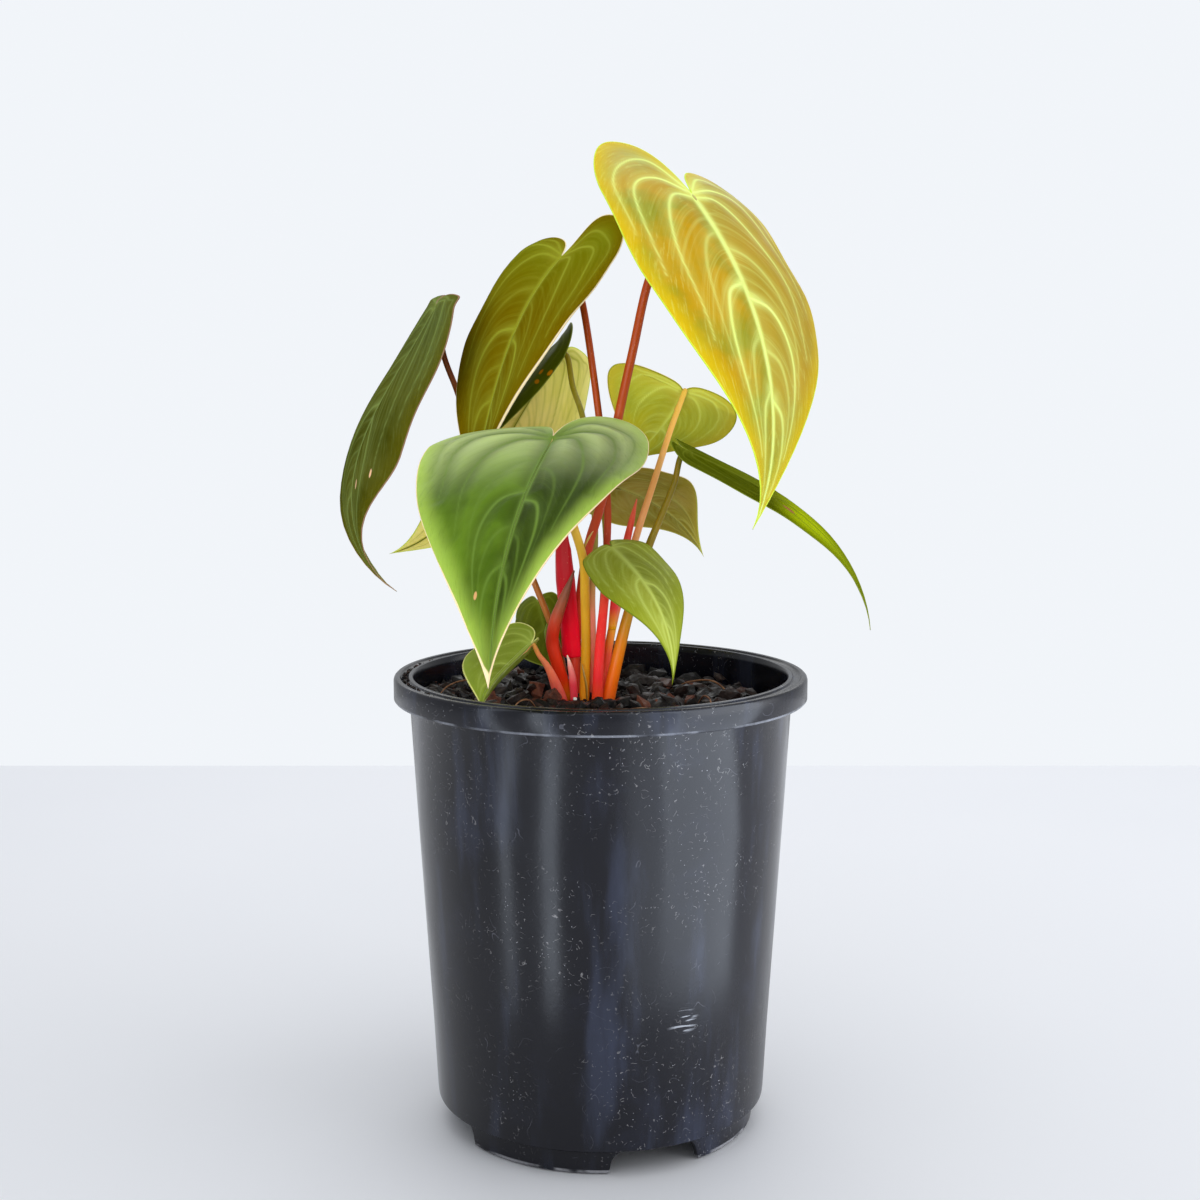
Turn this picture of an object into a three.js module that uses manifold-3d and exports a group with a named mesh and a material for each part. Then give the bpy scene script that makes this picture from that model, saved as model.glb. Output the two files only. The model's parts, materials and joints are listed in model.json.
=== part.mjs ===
// A young philodendron rubrijuvenile in its black nursery pot: eleven velvet leaves on thin red and
// olive petioles, the crimson sheaths between them, a short crown in bark potting mix, and the pot.
// Millimetres, +Z up. The whole stands on z = 0 and -Y is the front. Sizes and places below are
// measured from the pot's axis; the finished group is then moved so that the middle of its
// footprint is the origin.
import * as THREE from "three";
import { mergeVertices } from "three/addons/utils/BufferGeometryUtils.js";
import Module from "manifold-3d";

// where the pot's axis comes to lie, seen from the middle of the footprint
const POT_AXIS = [0.6, 14];

// the moulded pot
const POT_HEIGHT = 154.6;
const RIM_RADIUS = 70;
const RIM_BAND = 7.8;
const RIM_CHANNEL_DEPTH = 0.9;
const BODY_TOP_RADIUS = 64.9;
const BODY_BOTTOM_RADIUS = 56.5;
const WALL = 1.5;
const SKIRT_WALL = 1.6;
const FOOT_RADIUS = 52.7;
const FOOT_HEIGHT = 8.3;
const FLOOR = 1.6;
const POT_SIDES = 48;
const ARCH_COUNT = 4;
const ARCH_FIRST = 20; // degrees round from the front, towards +X
const ARCH_HALF_ANGLE = [17, 10]; // degrees, at the table and at the top of the arch
const ARCH_HEIGHT = 7.4;
const DRAIN_RADIUS = 4.5;
const DRAIN_COUNT = 6;
const DRAIN_CIRCLE = 38;

// potting mix and crown
const CLEARANCE = 0.3;
const SOIL_LEVEL = 144.5;
const SOIL_LEFT_RISE = 3.2; // the mix lies higher at the left and lower at the right
const SOIL_ROUGHNESS = 1.1;
const SOIL_RINGS = 9;
const SOIL_SECTORS = 32;
const CHIP_COUNT = 30;
const CHIP_SIZE = [4, 8.5];
const CROWN_CENTRE = [-5.5, 3.4];
const CROWN_RADIUS = [14.2, 13.6];
const CROWN_TOP = 145;
const CROWN_BOTTOM = 128;
const CROWN_SHOULDER = 0.62; // share of the half height above which its top is flattened
const CROWN_DOME = 0.2;
const SOCKET_FLOOR = 138;

// blades
const BLADE_THICKNESS = 0.8;
const RIPPLE = 0.5; // small waves that run along a margin
const RIPPLES = 3;
const LARGE_GRID = { lobe: 4, side: 8, across: 4 };
const SMALL_GRID = { lobe: 3, side: 6, across: 3 };
const STEM_SIDES = 7;
const STEM_STEPS = { large: 14, small: 9 };
const PETIOLE_OVERRUN = 1.5; // how far along the midrib the petiole's end reaches under the blade
const MIDRIB_STEPS = 24;

// Every leaf is placed by the point where its petiole joins it. heading is the way the midrib runs,
// in degrees from the front towards +X, and turn is how much that swings by the tip. droop is the
// midrib's fall below the horizontal at the base, the middle and the tip, and roll turns the blade
// about its midrib. half, lobe, fold, curl and lift are given for the left and the right half, as
// seen on the upper face with the tip down: its width, how far its lobe reaches back behind the
// petiole, its slope beside the midrib, the further slope gained by the margin, and how much the
// lobe is raised. widest and tail are shares of the length. The petiole is a list of points on its
// way up from the crown, with its radius at the base and at the blade.
const leaves = [
  {
    name: "tall_bronze",
    attach: [29.1, -12, 313],
    heading: 25,
    turn: 14,
    droop: [35, 65, 124],
    roll: [5, 4],
    length: 125,
    half: [35, 39],
    lobe: [28, 22],
    widest: 0.29,
    tail: 0.24,
    fold: [-7, -3],
    curl: [26, 43],
    lift: [0, -3],
    colour: 0xa79a3a,
    petiole: {
      base: [-8.4, 5],
      route: [
        [-8.8, 7, 159],
        [-7.4, 6, 175],
        [-4.4, 3.5, 196],
        [0.5, 0, 213.5],
        [5.8, -2, 240.5],
        [10.7, -3, 263],
        [15.6, -4, 285],
        [22.5, -6.5, 301.5],
      ],
      radius: [1.9, 1.3],
      colour: 0x8e3b22,
    },
  },
  {
    name: "upper_olive",
    attach: [-13.1, 26, 295.6],
    heading: -58,
    turn: -1,
    droop: [42, 69, 76],
    roll: [14, 11],
    length: 89,
    half: [38.5, 30.5],
    lobe: [9, 16],
    widest: 0.12,
    tail: 0.13,
    fold: [-17, -18],
    curl: [68, 25],
    lift: [-3, 4],
    colour: 0x6b6a22,
    petiole: {
      base: [-3, 7.5],
      route: [
        [-0.6, 9.5, 162],
        [1, 11.5, 178],
        [2.2, 13, 197],
        [2.2, 15, 214],
        [-0.6, 18, 241],
        [-5.7, 22, 276.5],
        [-9.8, 24.5, 290],
      ],
      radius: [1.4, 1.15],
      colour: 0x8a3a24,
    },
  },
  {
    name: "left_dark",
    attach: [-56.9, 28, 279.2],
    heading: -85,
    turn: 9,
    droop: [63, 71, 147],
    roll: [15, 16],
    length: 113,
    half: [28.5, 29.5],
    lobe: [4.5, 5.5],
    widest: 0.47,
    tail: 0.27,
    fold: [-7, -16],
    curl: [42, 52],
    lift: [-4, -3],
    colour: 0x4a4f2a,
    petiole: {
      base: [-12.5, 7.2],
      route: [
        [-13.2, 9.4, 155.5],
        [-17.1, 11, 169],
        [-23, 13, 184],
        [-34.8, 16.5, 213],
        [-42.3, 18.8, 230],
        [-46.8, 26, 240],
        [-50.8, 32.5, 250],
        [-55.5, 33.5, 263.5],
      ],
      radius: [1.2, 1],
      colour: 0x5f2d1e,
    },
  },
  {
    name: "front_green",
    attach: [-15, -28, 236],
    heading: -11,
    turn: -8,
    droop: [18, 40, 92],
    roll: [0, -23],
    length: 106,
    half: [43, 32],
    lobe: [19, 21.5],
    widest: 0.08,
    tail: 0.14,
    fold: [-5, -8],
    curl: [23, 38],
    lift: [-5, -1.5],
    colour: 0x4f7a35,
    petiole: {
      base: [-5.6, -3],
      route: [
        [-4.9, -4, 164],
        [-5.2, -6, 181],
        [-5.8, -9, 194],
        [-9.4, -15, 207.5],
        [-13.4, -24, 224],
      ],
      radius: [1.55, 1.25],
      colour: 0xc08a28,
    },
  },
  {
    name: "back_pale",
    attach: [-14.1, 46, 262.6],
    heading: -91,
    turn: -6,
    droop: [49, 57, 16],
    roll: [-13, -59],
    length: 99,
    half: [29.5, 28.5],
    lobe: [5, 10.5],
    widest: 0.26,
    tail: 0.2,
    fold: [11, -26],
    curl: [24, 105],
    lift: [1.5, 0.5],
    colour: 0x3f5a20,
    petiole: {
      base: [-2.8, 1],
      route: [
        [-2.7, 3.5, 165],
        [-2.9, 8, 181.5],
        [-1.9, 13.5, 200],
        [-3, 20.5, 220],
        [-6.2, 32.5, 239.5],
        [-9.9, 41, 250.5],
      ],
      radius: [1.2, 1],
      colour: 0x9a8f35,
    },
  },
  {
    name: "right_upper",
    attach: [29, 30, 249.2],
    heading: -122,
    turn: 27,
    droop: [60, 45, 35],
    roll: [-48, 14],
    length: 44,
    half: [23, 30],
    lobe: [4, 3],
    widest: 0.15,
    tail: 0.25,
    fold: [2, 0],
    curl: [15, 10],
    lift: [0, -1],
    colour: 0x7a8a2c,
    petiole: {
      base: [1, 6],
      route: [
        [2.6, 9, 160.5],
        [5.9, 13, 176],
        [12, 17.5, 198],
        [18.6, 19.5, 218.5],
        [24.3, 25.5, 235.5],
      ],
      radius: [1.5, 0.95],
      colour: 0xc9793a,
    },
  },
  {
    name: "right_lower",
    attach: [-0.4, 33, 218],
    heading: 127,
    turn: 2,
    droop: [16, 29, 61],
    roll: [21, 42],
    length: 60,
    half: [21.5, 19.5],
    lobe: [8, 9],
    widest: 0.26,
    tail: 0.32,
    fold: [-3, -3],
    curl: [18, 23],
    lift: [0, 0],
    colour: 0x746f3a,
    petiole: {
      base: [-1.5, 12.5],
      route: [
        [0.5, 15, 161],
        [1.5, 19, 177],
        [1.9, 24.5, 196],
        [0.8, 30.5, 209],
      ],
      radius: [1.1, 0.95],
      colour: 0x8f7a38,
    },
  },
  {
    name: "right_tailed",
    attach: [29.2, 4, 229.8],
    heading: 101,
    turn: -24,
    droop: [25, 39, 85],
    roll: [-21, -10],
    length: 93,
    half: [16, 13.5],
    lobe: [8, 4],
    widest: 0.32,
    tail: 0.33,
    fold: [2, 0],
    curl: [-3, 22],
    lift: [2.5, 0.5],
    colour: 0x46621f,
    petiole: {
      base: [2.6, -0.5],
      route: [
        [6.3, 0, 162],
        [9.3, 1, 174],
        [12.7, 2, 186],
        [16.4, 3, 197.5],
        [20.5, 4, 207.5],
        [24.8, 4, 218.5],
      ],
      radius: [1.9, 1],
      colour: 0x8a8130,
    },
  },
  {
    name: "low_right",
    attach: [3.5, -18, 199.5],
    heading: 25,
    turn: 13,
    droop: [18, 40, 104],
    roll: [-17, -1],
    length: 61,
    half: [13, 16],
    lobe: [7, 8],
    widest: 0.26,
    tail: 0.27,
    fold: [10, 7],
    curl: [34, 29],
    lift: [-2.5, -2],
    colour: 0x6d7a35,
    small: true,
    petiole: {
      base: [-1.2, -3.6],
      route: [
        [-0.2, -5, 164.5],
        [1.1, -8, 178.5],
        [2.4, -13, 190.5],
      ],
      radius: [1.7, 1.1],
      colour: 0xc02a2a,
    },
  },
  {
    name: "low_left",
    attach: [-22.5, -20, 167.9],
    heading: -41,
    turn: 25,
    droop: [32, 23, 42],
    roll: [36, 28],
    length: 36,
    half: [17, 9],
    lobe: [7, 3.5],
    widest: 0.3,
    tail: 0.15,
    fold: [14, 72],
    curl: [26, 53],
    lift: [-1, 2.5],
    colour: 0x5b7a36,
    small: true,
    petiole: {
      base: [-13.4, -5],
      route: [
        [-15.6, -10, 153.5],
        [-17.9, -12.5, 159],
        [-20.3, -16, 163],
      ],
      radius: [2.2, 0.75],
      colour: 0xd2603a,
    },
  },
  {
    name: "low_back",
    attach: [-22.3, 28, 175.2],
    heading: 21,
    turn: 11,
    droop: [53, 53, 40],
    roll: [-38, -14],
    length: 31,
    half: [15, 9],
    lobe: [5, 2.5],
    widest: 0.29,
    tail: 0.21,
    fold: [15, 5],
    curl: [35, 30],
    lift: [-2.5, -0.5],
    colour: 0x3f5f26,
    small: true,
    petiole: {
      base: [-10, 12],
      route: [
        [-17, 22.5, 156.5],
        [-20.8, 30, 167],
      ],
      radius: [0.9, 0.75],
      colour: 0x6e5a2a,
    },
  },
];

// The sheaths left by the last leaves. A boat is an open shell round its route, an awl is solid.
const sheaths = [
  {
    name: "sheath_crimson",
    kind: "boat",
    route: [
      [-9.3, 7.4, 159.5],
      [-9.6, 6.5, 165],
      [-10, 5.2, 171],
      [-11.2, 2.6, 186],
      [-11.7, 1.4, 197],
      [-11, 0.4, 204.5],
    ],
    radius: [3.9, 3.8, 3.8, 4, 3, 1.3],
    wrap: [200, 200, 200, 190, 170, 100],
    face: [-0.8, -0.6, 0],
    colour: 0xb31226,
  },
  {
    name: "sheath_curved",
    kind: "awl",
    route: [
      [-11.7, 0.5, 138],
      [-11.7, 0.5, 145],
      [-12.8, 0, 151],
      [-15.1, -1.5, 159],
      [-16.4, -2, 166],
      [-14.9, -3.4, 173.5],
      [-12.2, -4.6, 181],
      [-8.8, -5.5, 190],
    ],
    radius: [1.8, 1.8, 1.8, 1.8, 2, 2.1, 1.7, 0.25],
    colour: 0xc5382c,
  },
  {
    name: "sheath_pink",
    kind: "awl",
    route: [
      [-8.9, -5.3, 138],
      [-8.9, -5.3, 145],
      [-9.3, -5.8, 152.5],
      [-10.2, -6.2, 157.5],
      [-11.2, -6.6, 161.5],
    ],
    radius: [1.3, 1.3, 1.3, 0.9, 0.2],
    colour: 0xe0605c,
  },
  {
    name: "sheath_tip",
    kind: "awl",
    route: [
      [3.8, 8, 168],
      [5.4, 11.2, 181],
      [8.8, 16.2, 196.5],
      [10.9, 19.6, 205],
      [12.6, 21, 212],
    ],
    radius: [1.2, 1.3, 1.2, 0.9, 0.2],
    colour: 0xb5222c,
  },
];

const radians = THREE.MathUtils.degToRad;
const lerp = THREE.MathUtils.lerp;

const wasm = await Module();
wasm.setup();

// Repeatable random numbers, so that the mix looks the same every time.
function seeded(seed) {
  let state = seed;
  return () => {
    state = (state * 16807) % 2147483647;
    return state / 2147483647;
  };
}

function toSolid(geometry) {
  const bare = geometry.clone();
  bare.deleteAttribute("normal");
  bare.deleteAttribute("uv");
  const merged = mergeVertices(bare, 1e-4);
  return new wasm.Manifold(
    new wasm.Mesh({
      numProp: 3,
      vertProperties: new Float32Array(merged.attributes.position.array),
      triVerts: new Uint32Array(merged.index.array),
    }),
  );
}

function toGeometry(solid) {
  const mesh = solid.getMesh();
  const geometry = new THREE.BufferGeometry();
  geometry.setAttribute("position", new THREE.BufferAttribute(mesh.vertProperties, 3));
  geometry.setIndex(new THREE.BufferAttribute(mesh.triVerts, 1));
  const flat = geometry.toNonIndexed();
  flat.computeVertexNormals();
  return flat;
}

function largestBody(solid) {
  const bodies = solid.decompose();
  bodies.sort((a, b) => b.volume() - a.volume());
  return bodies[0];
}

function closedGeometry(points, faces) {
  const geometry = new THREE.BufferGeometry();
  geometry.setAttribute("position", new THREE.Float32BufferAttribute(points.flat(), 3));
  geometry.setIndex(faces.flat());
  return geometry;
}

// Half of a heart-shaped outline, from the notch at the petiole round the lobe to the tip.
function halfOutline(leaf, side, grid) {
  const half = leaf.half[side];
  const lobe = leaf.lobe[side];
  const length = leaf.length;
  const widest = leaf.widest * length;
  const at = (x, y) => new THREE.Vector2(x, y);
  const innerLobe = new THREE.CubicBezierCurve(
    at(0, 0),
    at(0.05 * half, -0.6 * lobe),
    at(0.15 * half, -lobe),
    at(0.5 * half, -lobe),
  );
  const outerLobe = new THREE.CubicBezierCurve(
    at(0.5 * half, -lobe),
    at(0.85 * half, -lobe),
    at(half, widest - 0.55 * (widest + lobe)),
    at(half, widest),
  );
  const flank = new THREE.CubicBezierCurve(
    at(half, widest),
    at(half, widest + 0.4 * (length - widest)),
    at(0.07 * half, length * (1 - leaf.tail)),
    at(0, length),
  );
  return [
    ...innerLobe.getPoints(grid.lobe),
    ...outerLobe.getPoints(grid.lobe).slice(1),
    ...flank.getPoints(grid.side).slice(1),
  ];
}

// The midrib as a chain of frames: where it is, the way it runs, its upper face and its right side.
function midribFrames(leaf) {
  const frameAt = (share) => {
    const [base, middle, tip] = leaf.droop;
    const fall =
      base * (1 - share) * (1 - 2 * share) +
      middle * 4 * share * (1 - share) +
      tip * share * (2 * share - 1);
    const azimuth = radians(leaf.heading + leaf.turn * share);
    const rise = -radians(fall);
    const roll = radians(lerp(leaf.roll[0], leaf.roll[1], share));
    const along = new THREE.Vector3(
      Math.cos(rise) * Math.sin(azimuth),
      -Math.cos(rise) * Math.cos(azimuth),
      Math.sin(rise),
    );
    const upright = new THREE.Vector3(
      -Math.sin(rise) * Math.sin(azimuth),
      Math.sin(rise) * Math.cos(azimuth),
      Math.cos(rise),
    );
    const level = new THREE.Vector3().crossVectors(upright, along);
    const face = upright.clone().multiplyScalar(Math.cos(roll)).addScaledVector(level, Math.sin(roll));
    const right = level.clone().multiplyScalar(Math.cos(roll)).addScaledVector(upright, -Math.sin(roll));
    return { along, face, right };
  };
  const step = leaf.length / MIDRIB_STEPS;
  const point = new THREE.Vector3(...leaf.attach);
  const frames = [];
  for (let i = 0; i <= MIDRIB_STEPS; i++) {
    frames.push({ point: point.clone(), ...frameAt(i / MIDRIB_STEPS) });
    point.addScaledVector(frameAt((i + 0.5) / MIDRIB_STEPS).along, step);
  }
  return frames;
}

// A point of the flat blade, x out from the midrib and y towards the tip, on the bent one.
function bladePoint(leaf, frames, side, x, y) {
  const place = THREE.MathUtils.clamp((y / leaf.length) * MIDRIB_STEPS, 0, MIDRIB_STEPS);
  const below = Math.min(Math.floor(place), MIDRIB_STEPS - 1);
  const share = place - below;
  const mix = (key) => frames[below][key].clone().lerp(frames[below + 1][key], share);
  const back = Math.min(y, 0);
  const slope = radians(leaf.fold[side]);
  const bend = radians(leaf.curl[side]) / leaf.half[side];
  const out = (Math.sin(slope + bend * x) - Math.sin(slope)) / bend;
  const down = (Math.cos(slope) - Math.cos(slope + bend * x)) / bend;
  const raised = leaf.lift[side] * (back / leaf.lobe[side]) ** 2;
  const reach = x / leaf.half[side];
  const wave = RIPPLE * reach * reach * Math.sin((2 * Math.PI * RIPPLES * y) / leaf.length + side * 2);
  return mix("point")
    .addScaledVector(mix("along"), back)
    .addScaledVector(mix("right"), side ? out : -out)
    .addScaledVector(mix("face"), raised - down + wave * (leaf.half[side] / 40));
}

// The blade as a thin closed shell, its two faces divided alike. Rows fan out from the petiole into
// the lobes and then step down the midrib, as the side veins do.
function bladeGeometry(leaf, thickness) {
  const grid = leaf.small ? SMALL_GRID : LARGE_GRID;
  const frames = midribFrames(leaf);
  const rows = 2 * grid.lobe + grid.side + 1;
  const firstStep = 1.6 * grid.lobe;
  const points = [];
  const keys = new Map();
  const vertex = (side, row, column, x, y) => {
    const foot = row <= firstStep ? 0 : row;
    const key =
      row === 0 || (column === 0 && foot === 0)
        ? "attach"
        : row === rows - 1
          ? "tip"
          : column === 0
            ? `midrib ${row}`
            : `${side} ${row} ${column}`;
    if (!keys.has(key)) {
      keys.set(key, points.length);
      points.push(bladePoint(leaf, frames, side, x, y));
    }
    return keys.get(key);
  };
  const upper = [];
  const edges = [];
  for (const side of [0, 1]) {
    const outline = halfOutline(leaf, side, grid);
    const net = outline.map((p, row) => {
      const share = THREE.MathUtils.clamp((row - firstStep) / (rows - 1 - firstStep), 0, 1);
      const foot = leaf.length * share ** 1.1;
      return Array.from({ length: grid.across + 1 }, (_, column) => {
        const reach = column / grid.across;
        return vertex(side, row, column, p.x * reach, lerp(foot, p.y, reach));
      });
    });
    for (let row = 0; row < rows - 1; row++) {
      for (let column = 0; column < grid.across; column++) {
        const a = net[row][column];
        const b = net[row + 1][column];
        const c = net[row + 1][column + 1];
        const d = net[row][column + 1];
        const pair = side ? [[a, b, c], [a, c, d]] : [[a, c, b], [a, d, c]];
        upper.push(...pair.filter(([p, q, r]) => p !== q && q !== r && r !== p));
      }
      const from = net[row][grid.across];
      const to = net[row + 1][grid.across];
      edges.push(side ? [from, to] : [to, from]);
    }
  }
  const middle = closedGeometry(
    points.map((p) => p.toArray()),
    upper,
  );
  middle.computeVertexNormals();
  const normal = new THREE.Vector3();
  const offset = (distance) =>
    points.map((p, i) => {
      normal.fromBufferAttribute(middle.attributes.normal, i);
      return p.clone().addScaledVector(normal, distance).toArray();
    });
  const count = points.length;
  const lower = upper.map(([a, b, c]) => [a + count, c + count, b + count]);
  const rim = edges.flatMap(([from, to]) => [
    [from, to, to + count],
    [from, to + count, from + count],
  ]);
  return closedGeometry([...offset(thickness / 2), ...offset(-thickness / 2)], [...upper, ...lower, ...rim]);
}

// A round stem along a smooth route, thinner or thicker as its radii say, closed at both ends.
function stemGeometry(route, radii, steps) {
  const curve = new THREE.CatmullRomCurve3(
    route.map((p) => new THREE.Vector3(...p)),
    false,
    "catmullrom",
    0.5,
  );
  const front = new THREE.Vector3(0, -1, 0);
  const points = [];
  for (let i = 0; i <= steps; i++) {
    const share = i / steps;
    const centre = curve.getPoint(share);
    const along = curve.getTangent(share);
    const across = new THREE.Vector3().crossVectors(along, front).normalize();
    const outward = new THREE.Vector3().crossVectors(across, along);
    const place = Math.min(share * (radii.length - 1), radii.length - 1.001);
    const below = Math.floor(place);
    const radius = lerp(radii[below], radii[below + 1], place - below);
    for (let j = 0; j < STEM_SIDES; j++) {
      const angle = (2 * Math.PI * j) / STEM_SIDES;
      const p = centre
        .clone()
        .addScaledVector(across, radius * Math.cos(angle))
        .addScaledVector(outward, radius * Math.sin(angle));
      points.push(p.toArray());
    }
  }
  const faces = [];
  for (let i = 0; i < steps; i++) {
    for (let j = 0; j < STEM_SIDES; j++) {
      const a = i * STEM_SIDES + j;
      const b = i * STEM_SIDES + ((j + 1) % STEM_SIDES);
      faces.push([a, b, b + STEM_SIDES], [a, b + STEM_SIDES, a + STEM_SIDES]);
    }
  }
  const last = steps * STEM_SIDES;
  for (let j = 1; j < STEM_SIDES - 1; j++) {
    faces.push([0, j + 1, j], [last, last + j, last + j + 1]);
  }
  return closedGeometry(points, faces);
}

// An open sheath: part of a tube round its route, convex towards its face.
function boatGeometry(sheath) {
  const curve = new THREE.CatmullRomCurve3(
    sheath.route.map((p) => new THREE.Vector3(...p)),
    false,
    "catmullrom",
    0.5,
  );
  const steps = 10;
  const arc = 6;
  const face = new THREE.Vector3(...sheath.face).normalize();
  const blend = (list, share) => {
    const place = Math.min(share * (list.length - 1), list.length - 1.001);
    const below = Math.floor(place);
    return lerp(list[below], list[below + 1], place - below);
  };
  const points = [];
  for (let i = 0; i <= steps; i++) {
    const share = i / steps;
    const centre = curve.getPoint(share);
    const along = curve.getTangent(share);
    const across = new THREE.Vector3().crossVectors(along, face).normalize();
    const outward = new THREE.Vector3().crossVectors(across, along);
    const radius = blend(sheath.radius, share);
    const wrap = radians(blend(sheath.wrap, share));
    const ring = (r, order) =>
      order.forEach((j) => {
        const angle = wrap * (j / arc - 0.5);
        const p = centre
          .clone()
          .addScaledVector(across, r * Math.sin(angle))
          .addScaledVector(outward, r * Math.cos(angle));
        points.push(p.toArray());
      });
    const order = Array.from({ length: arc + 1 }, (_, j) => j);
    ring(radius, order);
    ring(radius - BLADE_THICKNESS, order.reverse());
  }
  const around = 2 * (arc + 1);
  const faces = [];
  for (let i = 0; i < steps; i++) {
    for (let j = 0; j < around; j++) {
      const a = i * around + j;
      const b = i * around + ((j + 1) % around);
      faces.push([a, b + around, b], [a, a + around, b + around]);
    }
  }
  const last = steps * around;
  for (let j = 0; j < arc; j++) {
    const inner = around - 1 - j;
    faces.push([j, j + 1, inner - 1], [j, inner - 1, inner]);
    faces.push([last + j, last + inner - 1, last + j + 1], [last + j, last + inner, last + inner - 1]);
  }
  return closedGeometry(points, faces);
}

// Turned outward if its faces point in.
function outwardSolid(geometry) {
  const solid = toSolid(geometry);
  if (solid.volume() > 0) return solid;
  const turned = geometry.clone();
  const index = turned.index.array;
  for (let i = 0; i < index.length; i += 3) [index[i + 1], index[i + 2]] = [index[i + 2], index[i + 1]];
  return toSolid(turned);
}

// With extra given, the same stem that much thicker and longer, to cut its hole.
function petioleSolid(leaf, extra = 0) {
  const [x, y] = leaf.petiole.base;
  const [base, top] = leaf.petiole.radius;
  const joint = midribFrames(leaf)[0];
  const end = joint.point.addScaledVector(joint.along, PETIOLE_OVERRUN).toArray();
  const route = [[x, y, SOCKET_FLOOR - extra], [x, y, CROWN_TOP], ...leaf.petiole.route, end];
  const radii = [base + extra, base + extra, top + extra];
  return outwardSolid(stemGeometry(route, radii, leaf.small ? STEM_STEPS.small : STEM_STEPS.large));
}

function sheathSolid(sheath, extra = 0) {
  if (sheath.kind === "boat") return outwardSolid(boatGeometry(sheath));
  const [[x, y, z], ...rest] = sheath.route;
  const radii = sheath.radius.map((r) => r + extra);
  return outwardSolid(stemGeometry([[x, y, z - extra], ...rest], radii, STEM_STEPS.small));
}

// One turned profile: foot, body, overhanging rim with its shallow channel, inner wall and floor.
function potSolid() {
  const top = POT_HEIGHT;
  const underRim = POT_HEIGHT - RIM_BAND;
  const profile = [
    [0, FOOT_HEIGHT - 0.3],
    [FOOT_RADIUS - SKIRT_WALL, FOOT_HEIGHT - 0.3],
    [FOOT_RADIUS - SKIRT_WALL, 0],
    [FOOT_RADIUS, 0],
    [FOOT_RADIUS + 0.3, FOOT_HEIGHT - 0.4],
    [BODY_BOTTOM_RADIUS, FOOT_HEIGHT + 0.4],
    [BODY_TOP_RADIUS, underRim],
    [BODY_TOP_RADIUS + 0.3, top - 2.2],
    [RIM_RADIUS - 1.7, top - 2.2],
    [RIM_RADIUS - 1.5, underRim],
    [RIM_RADIUS, underRim],
    [RIM_RADIUS, top - 1],
    [RIM_RADIUS - 0.8, top],
    [RIM_RADIUS - 2.2, top],
    [RIM_RADIUS - 2.8, top - RIM_CHANNEL_DEPTH],
    [BODY_TOP_RADIUS + 0.2, top - RIM_CHANNEL_DEPTH],
    [BODY_TOP_RADIUS - 0.3, top],
    [BODY_TOP_RADIUS - WALL + 0.2, top],
    [BODY_TOP_RADIUS - WALL - 0.1, top - 1],
    [BODY_BOTTOM_RADIUS - WALL, FOOT_HEIGHT + FLOOR + 1.5],
    [BODY_BOTTOM_RADIUS - WALL - 1.5, FOOT_HEIGHT + FLOOR],
    [0, FOOT_HEIGHT + FLOOR],
  ].map(([r, z]) => new THREE.Vector2(r, z));
  const lathe = new THREE.LatheGeometry(profile, POT_SIDES);
  lathe.rotateX(Math.PI / 2);
  let solid = outwardSolid(lathe);
  for (let i = 0; i < ARCH_COUNT; i++) {
    const outline = new THREE.Shape();
    const foot = FOOT_RADIUS * Math.sin(radians(ARCH_HALF_ANGLE[0]));
    const head = FOOT_RADIUS * Math.sin(radians(ARCH_HALF_ANGLE[1]));
    outline.moveTo(-foot, -2);
    outline.lineTo(foot, -2);
    outline.lineTo(foot, 0);
    outline.quadraticCurveTo(foot, ARCH_HEIGHT, head, ARCH_HEIGHT);
    outline.lineTo(-head, ARCH_HEIGHT);
    outline.quadraticCurveTo(-foot, ARCH_HEIGHT, -foot, 0);
    const cutter = new THREE.ExtrudeGeometry(outline, { depth: 14, bevelEnabled: false, curveSegments: 4 });
    cutter.translate(0, 0, FOOT_RADIUS - 9);
    cutter.rotateX(Math.PI / 2);
    cutter.rotateZ(radians(ARCH_FIRST + (360 / ARCH_COUNT) * i));
    solid = solid.subtract(outwardSolid(cutter));
  }
  for (let i = 0; i < DRAIN_COUNT; i++) {
    const angle = (2 * Math.PI * i) / DRAIN_COUNT;
    const drill = new THREE.CylinderGeometry(DRAIN_RADIUS, DRAIN_RADIUS, 8, 14);
    drill.rotateX(Math.PI / 2);
    drill.translate(DRAIN_CIRCLE * Math.cos(angle), DRAIN_CIRCLE * Math.sin(angle), FOOT_HEIGHT + 1);
    solid = solid.subtract(outwardSolid(drill));
  }
  return solid;
}

// The short swollen stem that all petioles stand in.
function crownSolid(grow = 0) {
  const ball = new THREE.SphereGeometry(1, 16, 8);
  const height = (CROWN_TOP - CROWN_BOTTOM) / 2;
  ball.scale(CROWN_RADIUS[0] + grow, CROWN_RADIUS[1] + grow, height + grow);
  const shoulder = CROWN_SHOULDER * height + grow;
  const position = ball.attributes.position;
  for (let i = 0; i < position.count; i++) {
    const z = position.getZ(i);
    if (z > shoulder) position.setZ(i, lerp(shoulder, z, CROWN_DOME));
  }
  ball.translate(CROWN_CENTRE[0], CROWN_CENTRE[1], CROWN_BOTTOM + height);
  return outwardSolid(ball);
}

function soilHeight(x, y) {
  const lean = -SOIL_LEFT_RISE * (x / BODY_TOP_RADIUS);
  const mound = 1.6 * Math.exp(-((x + 5) ** 2 + (y - 3) ** 2) / 500);
  const lumps = Math.sin(x * 0.55 + y * 0.31) * Math.cos(y * 0.47 - x * 0.22) + 0.6 * Math.sin(x * 0.9 - y * 0.8);
  return SOIL_LEVEL - 1 + lean + mound + SOIL_ROUGHNESS * lumps;
}

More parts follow.
